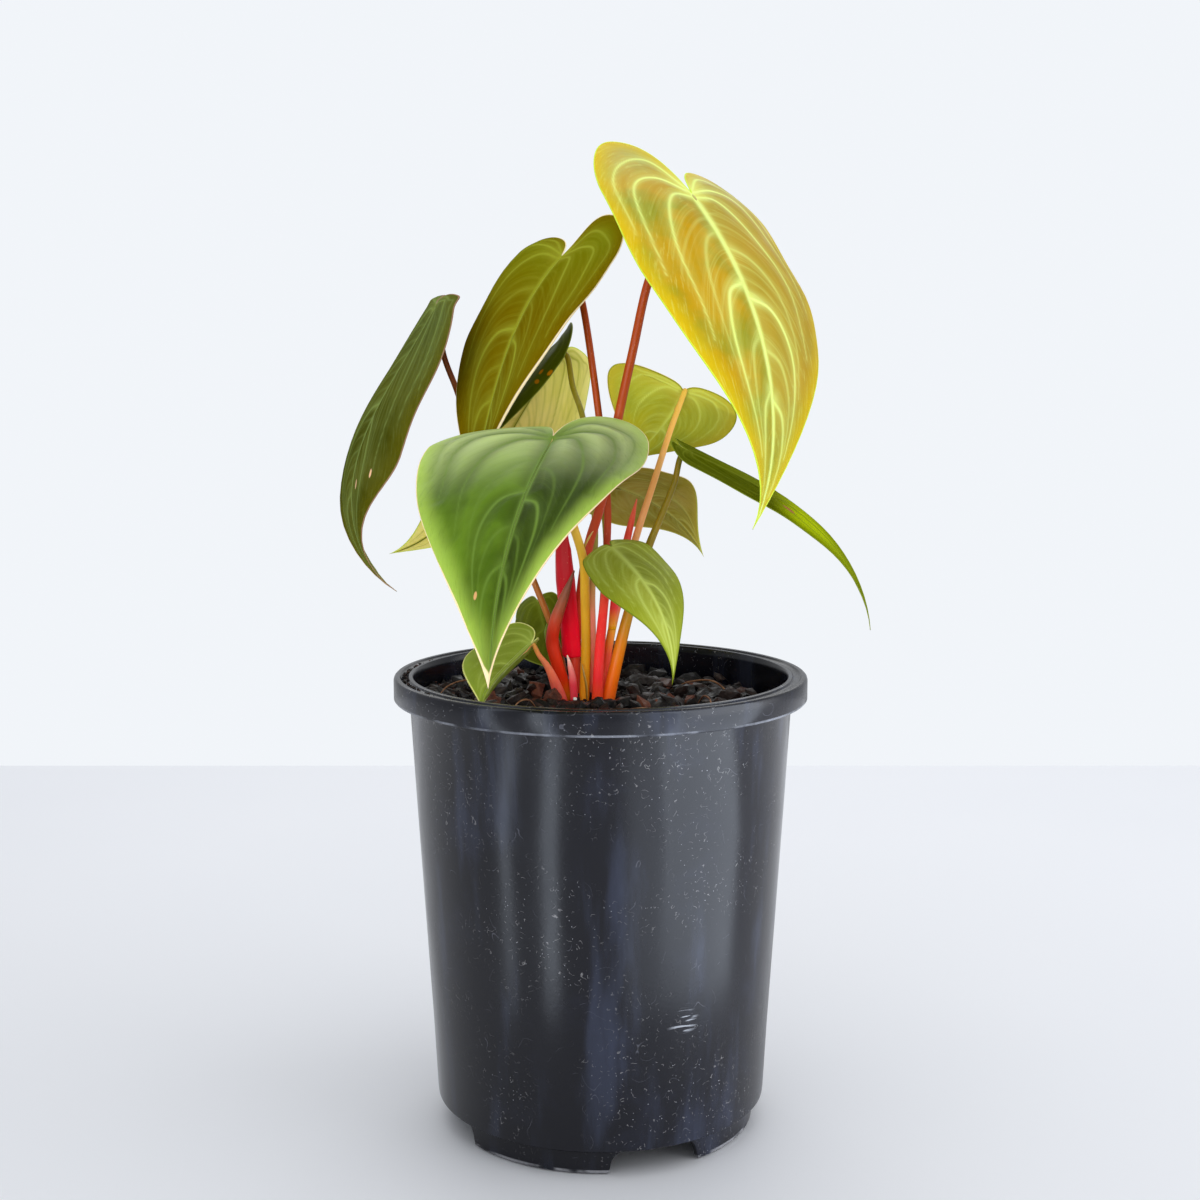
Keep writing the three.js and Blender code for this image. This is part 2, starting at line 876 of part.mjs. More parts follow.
// The mix fills the pot; its top is lumpy, and bark chips lie on it and stand half out of it.
function soilSolid(cutters) {
  const bottom = FOOT_HEIGHT + FLOOR + CLEARANCE;
  const innerRadius = (z) =>
    BODY_BOTTOM_RADIUS -
    WALL +
    ((BODY_TOP_RADIUS - BODY_BOTTOM_RADIUS) * (z - FOOT_HEIGHT)) / (POT_HEIGHT - FOOT_HEIGHT) -
    CLEARANCE -
    0.3;
  const points = [[0, 0, soilHeight(0, 0)]];
  for (let ring = 1; ring <= SOIL_RINGS; ring++) {
    for (let k = 0; k < SOIL_SECTORS; k++) {
      const angle = (2 * Math.PI * k) / SOIL_SECTORS;
      const radius = (ring / SOIL_RINGS) * innerRadius(SOIL_LEVEL - 6);
      const x = radius * Math.cos(angle);
      const y = radius * Math.sin(angle);
      points.push([x, y, soilHeight(x, y)]);
    }
  }
  const low = innerRadius(bottom + 2) - 1.5;
  for (let k = 0; k < SOIL_SECTORS; k++) {
    const angle = (2 * Math.PI * k) / SOIL_SECTORS;
    points.push([low * Math.cos(angle), low * Math.sin(angle), bottom]);
  }
  points.push([0, 0, bottom]);
  const faces = [];
  const at = (ring, k) => 1 + (ring - 1) * SOIL_SECTORS + (k % SOIL_SECTORS);
  for (let k = 0; k < SOIL_SECTORS; k++) {
    faces.push([0, at(1, k), at(1, k + 1)]);
    for (let ring = 1; ring <= SOIL_RINGS; ring++) {
      faces.push([at(ring, k), at(ring + 1, k), at(ring + 1, k + 1)]);
      faces.push([at(ring, k), at(ring + 1, k + 1), at(ring, k + 1)]);
    }
    faces.push([points.length - 1, at(SOIL_RINGS + 1, k + 1), at(SOIL_RINGS + 1, k)]);
  }
  let solid = outwardSolid(closedGeometry(points, faces));
  const random = seeded(41);
  for (let i = 0; i < CHIP_COUNT; i++) {
    const angle = 2 * Math.PI * random();
    const radius = 56 * Math.sqrt(random());
    const x = radius * Math.cos(angle);
    const y = radius * Math.sin(angle);
    const size = lerp(CHIP_SIZE[0], CHIP_SIZE[1], random());
    const chip = new THREE.BoxGeometry(size, size * lerp(0.4, 0.7, random()), size * 0.35);
    chip.rotateX(lerp(-0.6, 0.6, random()));
    chip.rotateY(lerp(-0.6, 0.6, random()));
    chip.rotateZ(2 * Math.PI * random());
    chip.translate(x, y, soilHeight(x, y) + 0.3);
    solid = solid.add(outwardSolid(chip));
  }
  for (const cutter of cutters) solid = solid.subtract(cutter);
  return largestBody(solid);
}

const plant = new THREE.Group();
plant.position.set(POT_AXIS[0], POT_AXIS[1], 0);

function place(name, solid, colour, roughness) {
  const material = new THREE.MeshStandardMaterial({ color: colour, roughness, metalness: 0 });
  const mesh = new THREE.Mesh(toGeometry(solid), material);
  mesh.name = name;
  plant.add(mesh);
}

const socketCutters = [
  ...leaves.map((leaf) => petioleSolid(leaf, CLEARANCE)),
  ...sheaths.filter((sheath) => sheath.kind === "awl").map((sheath) => sheathSolid(sheath, CLEARANCE)),
];

place("pot", potSolid(), 0x16181a, 0.42);
place("soil", soilSolid([crownSolid(CLEARANCE), ...socketCutters]), 0x241a14, 0.95);
place("crown", largestBody(socketCutters.reduce((solid, cutter) => solid.subtract(cutter), crownSolid())), 0x5a3a22, 0.7);
for (const leaf of leaves) {
  const blade = outwardSolid(bladeGeometry(leaf, BLADE_THICKNESS));
  const seat = outwardSolid(bladeGeometry(leaf, BLADE_THICKNESS + 2 * CLEARANCE));
  place(`petiole_${leaf.name}`, largestBody(petioleSolid(leaf).subtract(seat)), leaf.petiole.colour, 0.45);
  place(`blade_${leaf.name}`, blade, leaf.colour, 0.55);
}
for (const sheath of sheaths) place(sheath.name, sheathSolid(sheath), sheath.colour, 0.4);

export default plant;
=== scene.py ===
import json
import math
import random

import bmesh
import bpy
import numpy as np
from mathutils import Matrix, Vector, noise

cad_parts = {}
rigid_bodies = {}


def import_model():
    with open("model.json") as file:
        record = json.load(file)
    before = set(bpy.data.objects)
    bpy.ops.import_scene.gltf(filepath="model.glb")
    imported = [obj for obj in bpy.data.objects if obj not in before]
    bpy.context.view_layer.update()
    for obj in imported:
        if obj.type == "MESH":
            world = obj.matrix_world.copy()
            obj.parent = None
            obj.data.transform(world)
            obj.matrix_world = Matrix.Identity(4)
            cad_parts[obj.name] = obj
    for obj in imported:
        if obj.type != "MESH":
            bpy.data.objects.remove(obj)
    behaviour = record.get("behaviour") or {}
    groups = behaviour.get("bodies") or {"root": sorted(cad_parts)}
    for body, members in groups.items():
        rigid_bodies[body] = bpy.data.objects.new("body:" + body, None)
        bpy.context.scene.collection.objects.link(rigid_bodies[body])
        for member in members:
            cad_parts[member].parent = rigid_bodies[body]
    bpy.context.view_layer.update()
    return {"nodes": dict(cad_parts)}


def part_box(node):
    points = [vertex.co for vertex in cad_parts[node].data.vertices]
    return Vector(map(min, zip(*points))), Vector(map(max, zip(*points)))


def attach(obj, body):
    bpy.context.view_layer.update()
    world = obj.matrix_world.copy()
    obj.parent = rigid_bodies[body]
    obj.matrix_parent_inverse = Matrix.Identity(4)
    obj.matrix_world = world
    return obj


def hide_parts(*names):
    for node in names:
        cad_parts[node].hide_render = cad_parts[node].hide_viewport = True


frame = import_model()

# The pot is a round nursery pot, injection-moulded in one shot of black polypropylene. Its rim
# folds outward with a shallow channel on top, and its foot ring is cut by four arches so that
# water runs out from under it. It has been handled: fine scratches, white specks and dust.
MM = 0.001
pot_low, pot_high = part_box("pot")
pot_axis = Vector(((pot_low.x + pot_high.x) / 2, (pot_low.y + pot_high.y) / 2, 0))
pot_turns = 480
pot_profile = [
    (0, 8), (46, 8), (50.9, 8.05), (51.2, 8.3), (52.9, 8.4), (54.5, 8.5), (56, 8.6), (56.5, 9),
    (56.7, 11), (57.9, 34), (60.5, 76), (62.7, 112), (64.7, 146.3), (65.1, 146.9), (65.2, 152.3),
    (68.2, 152.3), (68.4, 147.2), (68.6, 146.8), (69.7, 146.8), (70, 147.2), (70, 153.3),
    (69.8, 154), (69.3, 154.5), (68.6, 154.6), (67.9, 154.5), (67.5, 154), (67.1, 153.7),
    (65.6, 153.7), (65.2, 153.9), (64.9, 154.4), (64.3, 154.6), (63.7, 154.5), (63.3, 154),
    (63.1, 152), (61.3, 112), (56.5, 34), (55.2, 13), (54.6, 11.6), (53.2, 10.2), (51, 9.9), (0, 9.9),
]
foot_radius = 52.7
foot_wall = 1.6
foot_top = 8.3
foot_bevel = 0.2
foot_flare = 0.3
foot_corners = 5
arch_angles = (20, 110, 200, 290)
arch_half_width = (15.4, 9.2)
arch_height = 7.4
drain_holes = 6
drain_circle = 38
drain_radius = 4.5
drill_length = 8
drill_sides = 40
floor_middle = 9
crease_angle = 40


def solid_piece(name, points, faces):
    mesh = bpy.data.meshes.new(name)
    mesh.from_pydata([Vector(p) for p in points], [], faces)
    mesh.validate()
    mesh.update()
    piece = bpy.data.objects.new(name, mesh)
    bpy.context.scene.collection.objects.link(piece)
    mesh.shade_smooth()
    return piece


def round_spot(radius, angle, height):
    """A point at this distance from the pot's axis, and this angle round it from the front."""
    return (
        pot_axis.x + radius * MM * math.sin(angle),
        pot_axis.y - radius * MM * math.cos(angle),
        height * MM,
    )


def turned(profile, turns):
    """Points and faces of a profile turned round the pot's axis; its ends lie on that axis."""
    points = []
    rings = []
    for radius, height in profile:
        if radius == 0:
            rings.append([len(points)] * turns)
            points.append(round_spot(0, 0, height))
            continue
        rings.append([len(points) + k for k in range(turns)])
        points.extend(round_spot(radius, 2 * math.pi * k / turns, height) for k in range(turns))
    faces = []
    for low, high in zip(rings, rings[1:]):
        for k in range(turns):
            corners = [low[k], low[(k + 1) % turns], high[(k + 1) % turns], high[k]]
            faces.append(tuple(dict.fromkeys(corners)))
    return points, faces


def arch_rise(angle):
    """How far the foot ring is cut away at this angle round from the front."""
    wide, narrow = arch_half_width
    for centre in arch_angles:
        away = (angle - centre + 180) % 360 - 180
        across = abs(foot_radius * math.sin(math.radians(away)))
        if abs(away) > 90 or across >= wide:
            continue
        if across < narrow:
            return arch_height
        share = math.sqrt((wide - across) / (wide - narrow))
        return arch_height * (2 * share - share * share)
    return 0


pot_points, pot_faces = turned(pot_profile, pot_turns)
foot_start = len(pot_points)
for k in range(pot_turns):
    angle = 360 * k / pot_turns
    rise = arch_rise(angle)
    for radius, height in (
        (foot_radius - foot_wall, rise),
        (foot_radius - foot_bevel, rise),
        (foot_radius + foot_flare * rise / foot_top, rise + foot_bevel),
        (foot_radius + foot_flare, foot_top),
        (foot_radius - foot_wall, foot_top),
    ):
        pot_points.append(round_spot(radius, math.radians(angle), height))
for k in range(pot_turns):
    here = foot_start + foot_corners * k
    there = foot_start + foot_corners * ((k + 1) % pot_turns)
    for side in range(foot_corners):
        over = (side + 1) % foot_corners
        pot_faces.append((here + side, there + side, there + over, here + over))
pot = solid_piece("nursery_pot", pot_points, pot_faces)

drills = bmesh.new()
for k in range(drain_holes):
    turn = 2 * math.pi * k / drain_holes
    middle = pot_axis + Vector((math.cos(turn), math.sin(turn), 0)) * drain_circle * MM
    bmesh.ops.create_cone(
        drills,
        cap_ends=True,
        segments=drill_sides,
        radius1=drain_radius * MM,
        radius2=drain_radius * MM,
        depth=drill_length * MM,
        matrix=Matrix.Translation(middle + Vector((0, 0, floor_middle * MM))),
    )
drill_mesh = bpy.data.meshes.new("drills")
drills.to_mesh(drill_mesh)
drills.free()
drill = bpy.data.objects.new("drills", drill_mesh)
bpy.context.scene.collection.objects.link(drill)
cut = pot.modifiers.new("drain_holes", "BOOLEAN")
cut.operation = "DIFFERENCE"
cut.object = drill
cut.solver = "EXACT"
drilled = bpy.data.meshes.new_from_object(pot.evaluated_get(bpy.context.evaluated_depsgraph_get()))
pot.modifiers.remove(cut)
pot.data = drilled
pot.data.set_sharp_from_angle(angle=math.radians(crease_angle))
bpy.data.objects.remove(drill)


def shade(red, green, blue):
    """A colour as read off a paint chart, 0 to 255, made linear."""
    linear = []
    for level in (red / 255, green / 255, blue / 255):
        linear.append(level / 12.92 if level < 0.0404 else ((level + 0.055) / 1.055) ** 2.4)
    return (*linear, 1)


class Finish:
    """A material under construction: short ways to add the patterns it is built from."""

    def __init__(self, name):
        self.material = bpy.data.materials.new(name)
        self.material.use_nodes = True
        self.tree = self.material.node_tree
        self.shader = next(n for n in self.tree.nodes if n.type == "BSDF_PRINCIPLED")
        self.place = self.add("ShaderNodeTexCoord").outputs["Object"]

    def add(self, kind, **values):
        """A new node of this kind, with these values on its sockets."""
        node = self.tree.nodes.new(kind)
        for name, value in values.items():
            node.inputs[name.replace("_", " ")].default_value = value
        return node

    def join(self, source, socket):
        self.tree.links.new(source, socket)

    def set(self, **values):
        """Values that are the same all over the surface."""
        for name, value in values.items():
            self.shader.inputs[name.replace("_", " ")].default_value = value

    def give(self, **sources):
        """Patterns for the shader's sockets."""
        for name, source in sources.items():
            self.join(source, self.shader.inputs[name.replace("_", " ")])

    def stretched(self, stretch, swing=(0, 0, 0)):
        """The object's own space, or the same with patterns drawn out along its axes."""
        if not stretch:
            return self.place
        node = self.add("ShaderNodeMapping", Scale=stretch, Rotation=swing)
        self.join(self.place, node.inputs["Vector"])
        return node.outputs["Vector"]

    def grain(self, scale, detail=4, rough=0.5, stretch=None):
        """Cloudy noise in object space, scale in patches per metre."""
        node = self.add("ShaderNodeTexNoise", Scale=scale, Detail=detail, Roughness=rough)
        self.join(self.stretched(stretch), node.inputs["Vector"])
        return node.outputs["Fac"]

    def specks(self, scale, stretch=None):
        """Distance to scattered points, for dots and flecks."""
        node = self.add("ShaderNodeTexVoronoi", Scale=scale)
        self.join(self.stretched(stretch, (0.3, 0.2, 0.5)), node.inputs["Vector"])
        return node.outputs["Distance"]

    def curls(self, scale, thin):
        """Thin curved lines, where cloudy noise passes through its middle value."""
        level = self.grain(scale, 1)
        return self.times(self.window(level, 0.5 - thin, 0.5), self.window(level, 0.5 + thin, 0.5))

    def gap(self, source, spot):
        node = self.add("ShaderNodeVectorMath")
        node.operation = "DISTANCE"
        self.join(source, node.inputs[0])
        node.inputs[1].default_value = spot
        return node.outputs["Value"]

    def near(self, spot, reach):
        """1 at a spot in the object's own space, falling to 0 at this reach."""
        return self.window(self.gap(self.place, spot), reach, reach * 0.4)

    def layer(self, low, high):
        """1 between two heights of the object's own space, with soft ends."""
        height = self.add("ShaderNodeSeparateXYZ")
        self.join(self.place, height.inputs[0])
        soft = (high - low) / 3
        above = self.window(height.outputs["Z"], low - soft, low)
        return self.times(above, self.window(height.outputs["Z"], high + soft, high))

    def beyond(self, axis, radius):
        """1 outside an upright cylinder of this radius."""
        flat = self.add("ShaderNodeVectorMath")
        flat.operation = "MULTIPLY"
        self.join(self.place, flat.inputs[0])
        flat.inputs[1].default_value = (1, 1, 0)
        return self.window(self.gap(flat.outputs["Vector"], axis), radius, radius * 1.001)

    def mark(self, name):
        """A value carried by the mesh's own points."""
        node = self.add("ShaderNodeAttribute")
        node.attribute_name = name
        return node.outputs["Fac"]

    def window(self, source, low, high, from_value=0.0, to_value=1.0):
        """source between low and high, turned smoothly into from_value to to_value."""
        ends = {"From_Min": low, "From_Max": high, "To_Min": from_value, "To_Max": to_value}
        node = self.add("ShaderNodeMapRange", **ends)
        node.interpolation_type = "SMOOTHSTEP"
        self.join(source, node.inputs["Value"])
        return node.outputs["Result"]

    def times(self, first, second):
        """The product of a socket and another socket or a number, held between 0 and 1."""
        node = self.add("ShaderNodeMath")
        node.operation = "MULTIPLY"
        node.use_clamp = True
        self.join(first, node.inputs[0])
        if isinstance(second, float):
            node.inputs[1].default_value = second
        else:
            self.join(second, node.inputs[1])
        return node.outputs[0]

    def mix(self, share, first, second):
        """first where share is 0, second where it is 1; each a colour or a socket."""
        node = self.add("ShaderNodeMix")
        node.data_type = "RGBA"
        self.join(share, node.inputs["Factor"])
        for side, colour in (("A", first), ("B", second)):
            socket = next(s for s in node.inputs if s.name == side and s.type == "RGBA")
            if isinstance(colour, tuple):
                socket.default_value = colour
            else:
                self.join(colour, socket)
        return next(s for s in node.outputs if s.type == "RGBA")

    def relief(self, height, distance, strength, under=None):
        """Low relief of this depth in metres, over another relief if there is one."""
        node = self.add("ShaderNodeBump", Distance=distance, Strength=strength)
        self.join(height, node.inputs["Height"])
        if under:
            self.join(under, node.inputs["Normal"])
        return node.outputs["Normal"]


black = Finish("black_polypropylene")
dust = black.window(black.grain(34, 6, 0.62), 0.5, 0.85)
# Painted reflection: soft bluish streaks drawn out up and down the wall, standing in for streaks of window
# light on the glossy plastic.
sheen_streaks = black.window(black.grain(75, 4, 0.55, stretch=(1, 1, 0.16)), 0.5, 0.72)
hairs = black.times(black.curls(330, 0.016), black.window(black.grain(620, 1), 0.56, 0.62))
long_hairs = black.times(black.curls(90, 0.003), black.window(black.grain(150, 1), 0.58, 0.64))
worn_fields = black.window(black.grain(24, 3), 0.42, 0.62)
white_specks = black.times(black.window(black.specks(520), 0.1, 0.05), black.times(worn_fields, 0.4))
# A pale broken line along the lower outer edge of the rim: partly wear, partly a painted highlight where
# that edge catches the light.
rim_wear_and_highlight = black.times(black.layer(0.1465, 0.1474), black.window(black.grain(60, 5, 0.6), 0.36, 0.6))
rim_wear_and_highlight = black.times(rim_wear_and_highlight, black.beyond(pot_axis, 0.067))
foot_wear = black.times(black.layer(0.0, 0.0009), black.window(black.grain(90, 4), 0.45, 0.6))
scuff_spot = black.near(pot_axis + Vector((27.5, -55, 51)) * MM, 0.007)
scuffs = black.times(black.window(black.grain(150, 2, 0.4, stretch=(0.5, 0.5, 6)), 0.56, 0.62), scuff_spot)
pot_colour = black.mix(dust, shade(13, 13, 19), shade(28, 30, 42))
# The painted reflection streaks are laid over the base in a pale bluish grey.
pot_colour = black.mix(black.times(sheen_streaks, 0.3), pot_colour, shade(66, 72, 92))
pot_colour = black.mix(black.times(hairs, black.times(worn_fields, 0.42)), pot_colour, shade(160, 156, 154))
pot_colour = black.mix(black.times(long_hairs, 0.2), pot_colour, shade(140, 140, 150))
pot_colour = black.mix(white_specks, pot_colour, shade(200, 200, 204))
pot_colour = black.mix(black.times(scuffs, 0.5), pot_colour, shade(190, 192, 198))
pot_colour = black.mix(black.times(rim_wear_and_highlight, 0.35), pot_colour, shade(168, 170, 178))
pot_colour = black.mix(black.times(foot_wear, 0.5), pot_colour, shade(160, 158, 160))
black.give(
    Base_Color=pot_colour,
    Roughness=black.window(black.grain(30, 5, 0.6, stretch=(1, 1, 0.4)), 0.3, 0.75, 0.16, 0.3),
    Normal=black.relief(black.grain(900, 3), 0.00005, 0.4, black.relief(black.grain(24, 2), 0.0008, 0.25)),
)
black.set(IOR=1.5, Specular_IOR_Level=0.32)
pot.data.materials.clear()
pot.data.materials.append(black.material)
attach(pot, "root")
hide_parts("pot")

# The mix is coarse: damp bark chips, coir crumbs and a few loose rootlets, filled by hand to a
# finger below the rim and settled, a little higher at the left. It is one body of crumbs with
# the larger chips lying on it and half sunk in it.
soil_level = 144.5
soil_left_rise = 3.2
wall_radius = 64.9
mix_radius = 62.3
mix_foot = (53, 11)
mix_floor = 10.5
mix_rings = 64
mix_sectors = 180
mix_tone = 0.35
mound_height = 1.6
mound_spread = 500
lump_height = 1.1
chip_bed = 1.4
crown_centre = (-5.5, 3.4)
crown_clearance = 15
chip_reach = 61
chip_count = 680
chip_lengths = (3, 12.5)
chip_tilt = 0.7
crumb_count = 3600
crumb_lengths = (0.6, 2.2)
spilt_crumbs = 90
spilt_middle = -84
spilt_spread = 17
spilt_lengths = (0.5, 1.5)
channel_radii = (65.5, 66.9)
channel_floor = 153.7
bead_spot = (-8.6, -12.5)
bead_size = (1.9, 1.8, 1.7)
bead_tone = 2


def mix_height(x, y):
    """The settled top of the mix: the lean, mound and lumps of its solid, with finer clods on them."""
    lean = -soil_left_rise * x / wall_radius
    mound = mound_height * math.exp(-((x + 5) ** 2 + (y - 3) ** 2) / mound_spread)
    lumps = math.sin(x * 0.55 + y * 0.31) * math.cos(y * 0.47 - x * 0.22)
    lumps += 0.6 * math.sin(x * 0.9 - y * 0.8)
    clods = 1.6 * noise.noise(Vector((x * 0.16, y * 0.16, 3)))
    clods += 1.1 * noise.noise(Vector((x * 0.42, y * 0.42, 8)))
    return soil_level - chip_bed + lean + mound + lump_height * lumps + clods


mix_points = [(0, 0, mix_height(0, 0))]
for ring in range(1, mix_rings + 1):
    radius = mix_radius * ring / mix_rings
    for k in range(mix_sectors):
        turn = 2 * math.pi * k / mix_sectors
        x, y = radius * math.cos(turn), radius * math.sin(turn)
        mix_points.append((x, y, mix_height(x, y) + 0.5 * noise.noise(Vector((x, y, 0)))))
for k in range(mix_sectors):
    turn = 2 * math.pi * k / mix_sectors
    mix_points.append((mix_foot[0] * math.cos(turn), mix_foot[0] * math.sin(turn), mix_foot[1]))
mix_points.append((0, 0, mix_floor))
mix_faces = []
for k in range(mix_sectors):
    beside = (k + 1) % mix_sectors
    mix_faces.append((0, 1 + k, 1 + beside))
    for ring in range(mix_rings):
        low, high = 1 + mix_sectors * ring, 1 + mix_sectors * (ring + 1)
        mix_faces.append((low + k, high + k, high + beside, low + beside))
    last = 1 + mix_sectors * mix_rings
    mix_faces.append((last + k, len(mix_points) - 1, last + beside))
mix_tones = [mix_tone] * len(mix_points)
draw = random.Random(7)

round_lump = bmesh.new()
bmesh.ops.create_icosphere(round_lump, subdivisions=1, radius=0.5)
lump_corners = [v.co.copy() for v in round_lump.verts]
lump_sides = [tuple(v.index for v in face.verts) for face in round_lump.faces]
round_lump.free()


def add_chip(centre, size, tone):
    """One crumb of bark: a rough lump, flattened and turned at random."""
    turn = Matrix.Rotation(draw.uniform(0, 6.28), 3, "Z")
    for axis in "XY":
        turn = turn @ Matrix.Rotation(draw.uniform(-chip_tilt, chip_tilt), 3, axis)
    start = len(mix_points)
    for corner in lump_corners:
        spot = corner * draw.uniform(0.62, 1.25)
        spot = turn @ Vector((spot.x * size[0], spot.y * size[1], spot.z * size[2]))
        mix_points.append(tuple(Vector(centre) + spot))
        mix_tones.append(tone)
    mix_faces.extend(tuple(start + i for i in side) for side in lump_sides)


for i in range(chip_count + crumb_count):
    turn, radius = draw.uniform(0, 6.283), chip_reach * math.sqrt(draw.random())
    x, y = radius * math.cos(turn), radius * math.sin(turn)
    long = draw.uniform(*(chip_lengths if i < chip_count else crumb_lengths))
    if i < chip_count and math.hypot(x - crown_centre[0], y - crown_centre[1]) < crown_clearance:
        long *= 0.45
    size = (long, long * draw.uniform(0.4, 0.85), long * draw.uniform(0.3, 0.6))
    reach = min(1, (mix_radius - 0.6 * long) / max(radius, 1))
    x, y = x * reach, y * reach
    lift = draw.uniform(-0.15, 0.8) * min(long, 3.2)
    add_chip((x, y, mix_height(x, y) + lift), size, draw.random())

# Some crumbs have been spilt into the channel of the rim at the left.
for i in range(spilt_crumbs):
    turn, radius = math.radians(draw.gauss(spilt_middle, spilt_spread)), draw.uniform(*channel_radii)
    long = draw.uniform(*spilt_lengths)
    spot = (radius * math.sin(turn), -radius * math.cos(turn), channel_floor + 0.25 * long)
    add_chip(spot, (long, long * 0.7, long * 0.6), 0.2 + 0.7 * draw.random())
# One white bead of perlite lies in front of the petioles.
add_chip((*bead_spot, mix_height(*bead_spot) + 1.6), bead_size, bead_tone)


def mark_points(piece, name, values):
    """Values on the points of a piece, for its finish to read."""
    piece.data.attributes.new(name, "FLOAT", "POINT").data.foreach_set("value", values)


soil = solid_piece("potting_mix", [pot_axis + Vector(p) * MM for p in mix_points], mix_faces)
soil.data.shade_flat()
mark_points(soil, "tone", mix_tones)

bark = Finish("bark_mix")
tone = bark.mark("tone")
fibres = bark.grain(900, 5, 0.6)
soil_colour = bark.mix(bark.window(tone, 0.2, 0.75), shade(8, 7, 8), shade(36, 24, 20))
soil_colour = bark.mix(bark.window(tone, 0.84, 0.99), soil_colour, shade(112, 62, 44))
soil_colour = bark.mix(bark.window(bark.grain(170, 4), 0.5, 0.72), soil_colour, shade(12, 10, 11))
soil_colour = bark.mix(bark.times(bark.window(fibres, 0.56, 0.75), 0.4), soil_colour, shade(92, 70, 62))
soil_colour = bark.mix(bark.window(tone, 1.2, 1.6), soil_colour, shade(236, 234, 228))
bark.give(
    Base_Color=soil_colour,
    Roughness=bark.window(bark.grain(320, 3), 0.3, 0.7, 0.3, 0.9),
    Normal=bark.relief(fibres, 0.0005, 0.9),
)
bark.set(Specular_IOR_Level=0.3)
soil.data.materials.append(bark.material)
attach(soil, "root")
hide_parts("soil")


def smooth_route(points, steps):
    """A smooth line through the points, as arrays, with this many steps between each two."""
    points = np.array(points, float)
    padded = np.vstack([2 * points[0] - points[1], points, 2 * points[-1] - points[-2]])
    line = []
    for a, b, c, d in zip(padded, padded[1:], padded[2:], padded[3:]):
        for i in range(steps):
            t = i / steps
            bend = (2 * a - 5 * b + 4 * c - d) * t * t
            swing = (3 * b - 3 * c + d - a) * t ** 3
            line.append(0.5 * (2 * b + (c - a) * t + bend + swing))
    line.append(points[-1])
    return np.array(line)


def spread(values, count):
    """Values given at even stations of a line, for each of its points."""
    return np.interp(np.linspace(0, 1, count), np.linspace(0, 1, len(values)), values)


def cross_directions(line, facing):
    """At each point of a line, the direction across it and the one out towards its face."""
    along = np.gradient(line, axis=0)
    along /= np.linalg.norm(along, axis=1)[:, None]
    across = np.cross(along, facing)
    across /= np.linalg.norm(across, axis=1)[:, None]
    return across, np.cross(across, along)


stem_sides = 20


def tube(name, line, radii, sides=stem_sides):
    """A round stem along a line in pot millimetres, closed at both ends; marks rise from 0 to 1."""
    count = len(line)
    radii = spread(radii, count)
    across, outward = cross_directions(line, (0, -1, 0))
    points = []
    for i in range(count):
        for j in range(sides):
            turn = 2 * math.pi * j / sides
            spot = line[i] + radii[i] * (across[i] * math.cos(turn) + outward[i] * math.sin(turn))
            points.append(pot_axis + Vector(spot) * MM)
    faces = []
    for i in range(count - 1):
        for j in range(sides):
            a, b = i * sides + j, i * sides + (j + 1) % sides
            faces.append((a, b, b + sides, a + sides))
    faces.append(tuple(reversed(range(sides))))
    faces.append(tuple((count - 1) * sides + j for j in range(sides)))
    piece = solid_piece(name, points, faces)
    mark_points(piece, "rise", np.repeat(np.linspace(0, 1, count), sides))
    return piece


rootlets = [
    [(-21, -26, 147), (-23, -32, 151), (-26, -40, 152), (-29, -47, 149)],
    [(33, -6, 145), (34.5, -14, 149), (36, -24, 149), (35, -33, 145)],
    [(20, -30, 146), (14, -35, 149), (7, -36, 148), (3, -40, 145)],
    [(-40, 10, 148), (-46, 4, 151), (-52, -2, 150), (-55, -10, 147)],
    [(46, 18, 143), (40, 24, 147), (32, 29, 146), (25, 30, 143)],
]
straw = Finish("dry_rootlet")
fade = straw.window(straw.grain(400), 0.35, 0.65)
straw.give(
    Base_Color=straw.mix(fade, shade(122, 78, 50), shade(168, 122, 84)),
    Normal=straw.relief(straw.grain(2500), 0.0001, 0.6),
)
straw.set(Roughness=0.75)
for number, route in enumerate(rootlets):
    rootlet = tube(f"rootlet_{number + 1}", smooth_route(route, 8), [0.28, 0.32, 0.26, 0.14], sides=8)
    rootlet.data.materials.append(straw.material)
    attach(rootlet, "root")

# The crown is the plant's short stem, sunk in the mix, with a socket of growth round each petiole.
# It is live tissue under a corky skin and only its top ever shows between the crumbs.
cork = Finish("corky_crown")
cork.give(
    Base_Color=cork.mix(cork.window(cork.grain(260, 5), 0.35, 0.7), shade(84, 52, 34), shade(134, 92, 58)),
    Normal=cork.relief(cork.grain(700, 4), 0.0005, 0.8),
)
cork.set(Roughness=0.7)
crown = frame["nodes"]["crown"]
crown.data.materials.clear()
crown.data.materials.append(cork.material)

# The tall bronze leaf is the newest and largest: a thin heart-shaped blade with lime veins, grown
# in one with its petiole, its velvety skin still yellow-bronze. All the leaves are grown alike, so
# the ways to shape a blade, lay its veins and colour it are set out here and used again below.
blade_step = 0.64
midrib_steps = 24
lobe_steps = 60
lobe_end = 96
flank_steps = 140
vein_steps = 32
blade_half_thickness = 0.26
vein_ridge = 0.3
quilt_depth = 0.5
quilt_width = 3.4
rib_quilt_width = 4.2
faint_width = 0.5
margin_reach = 12

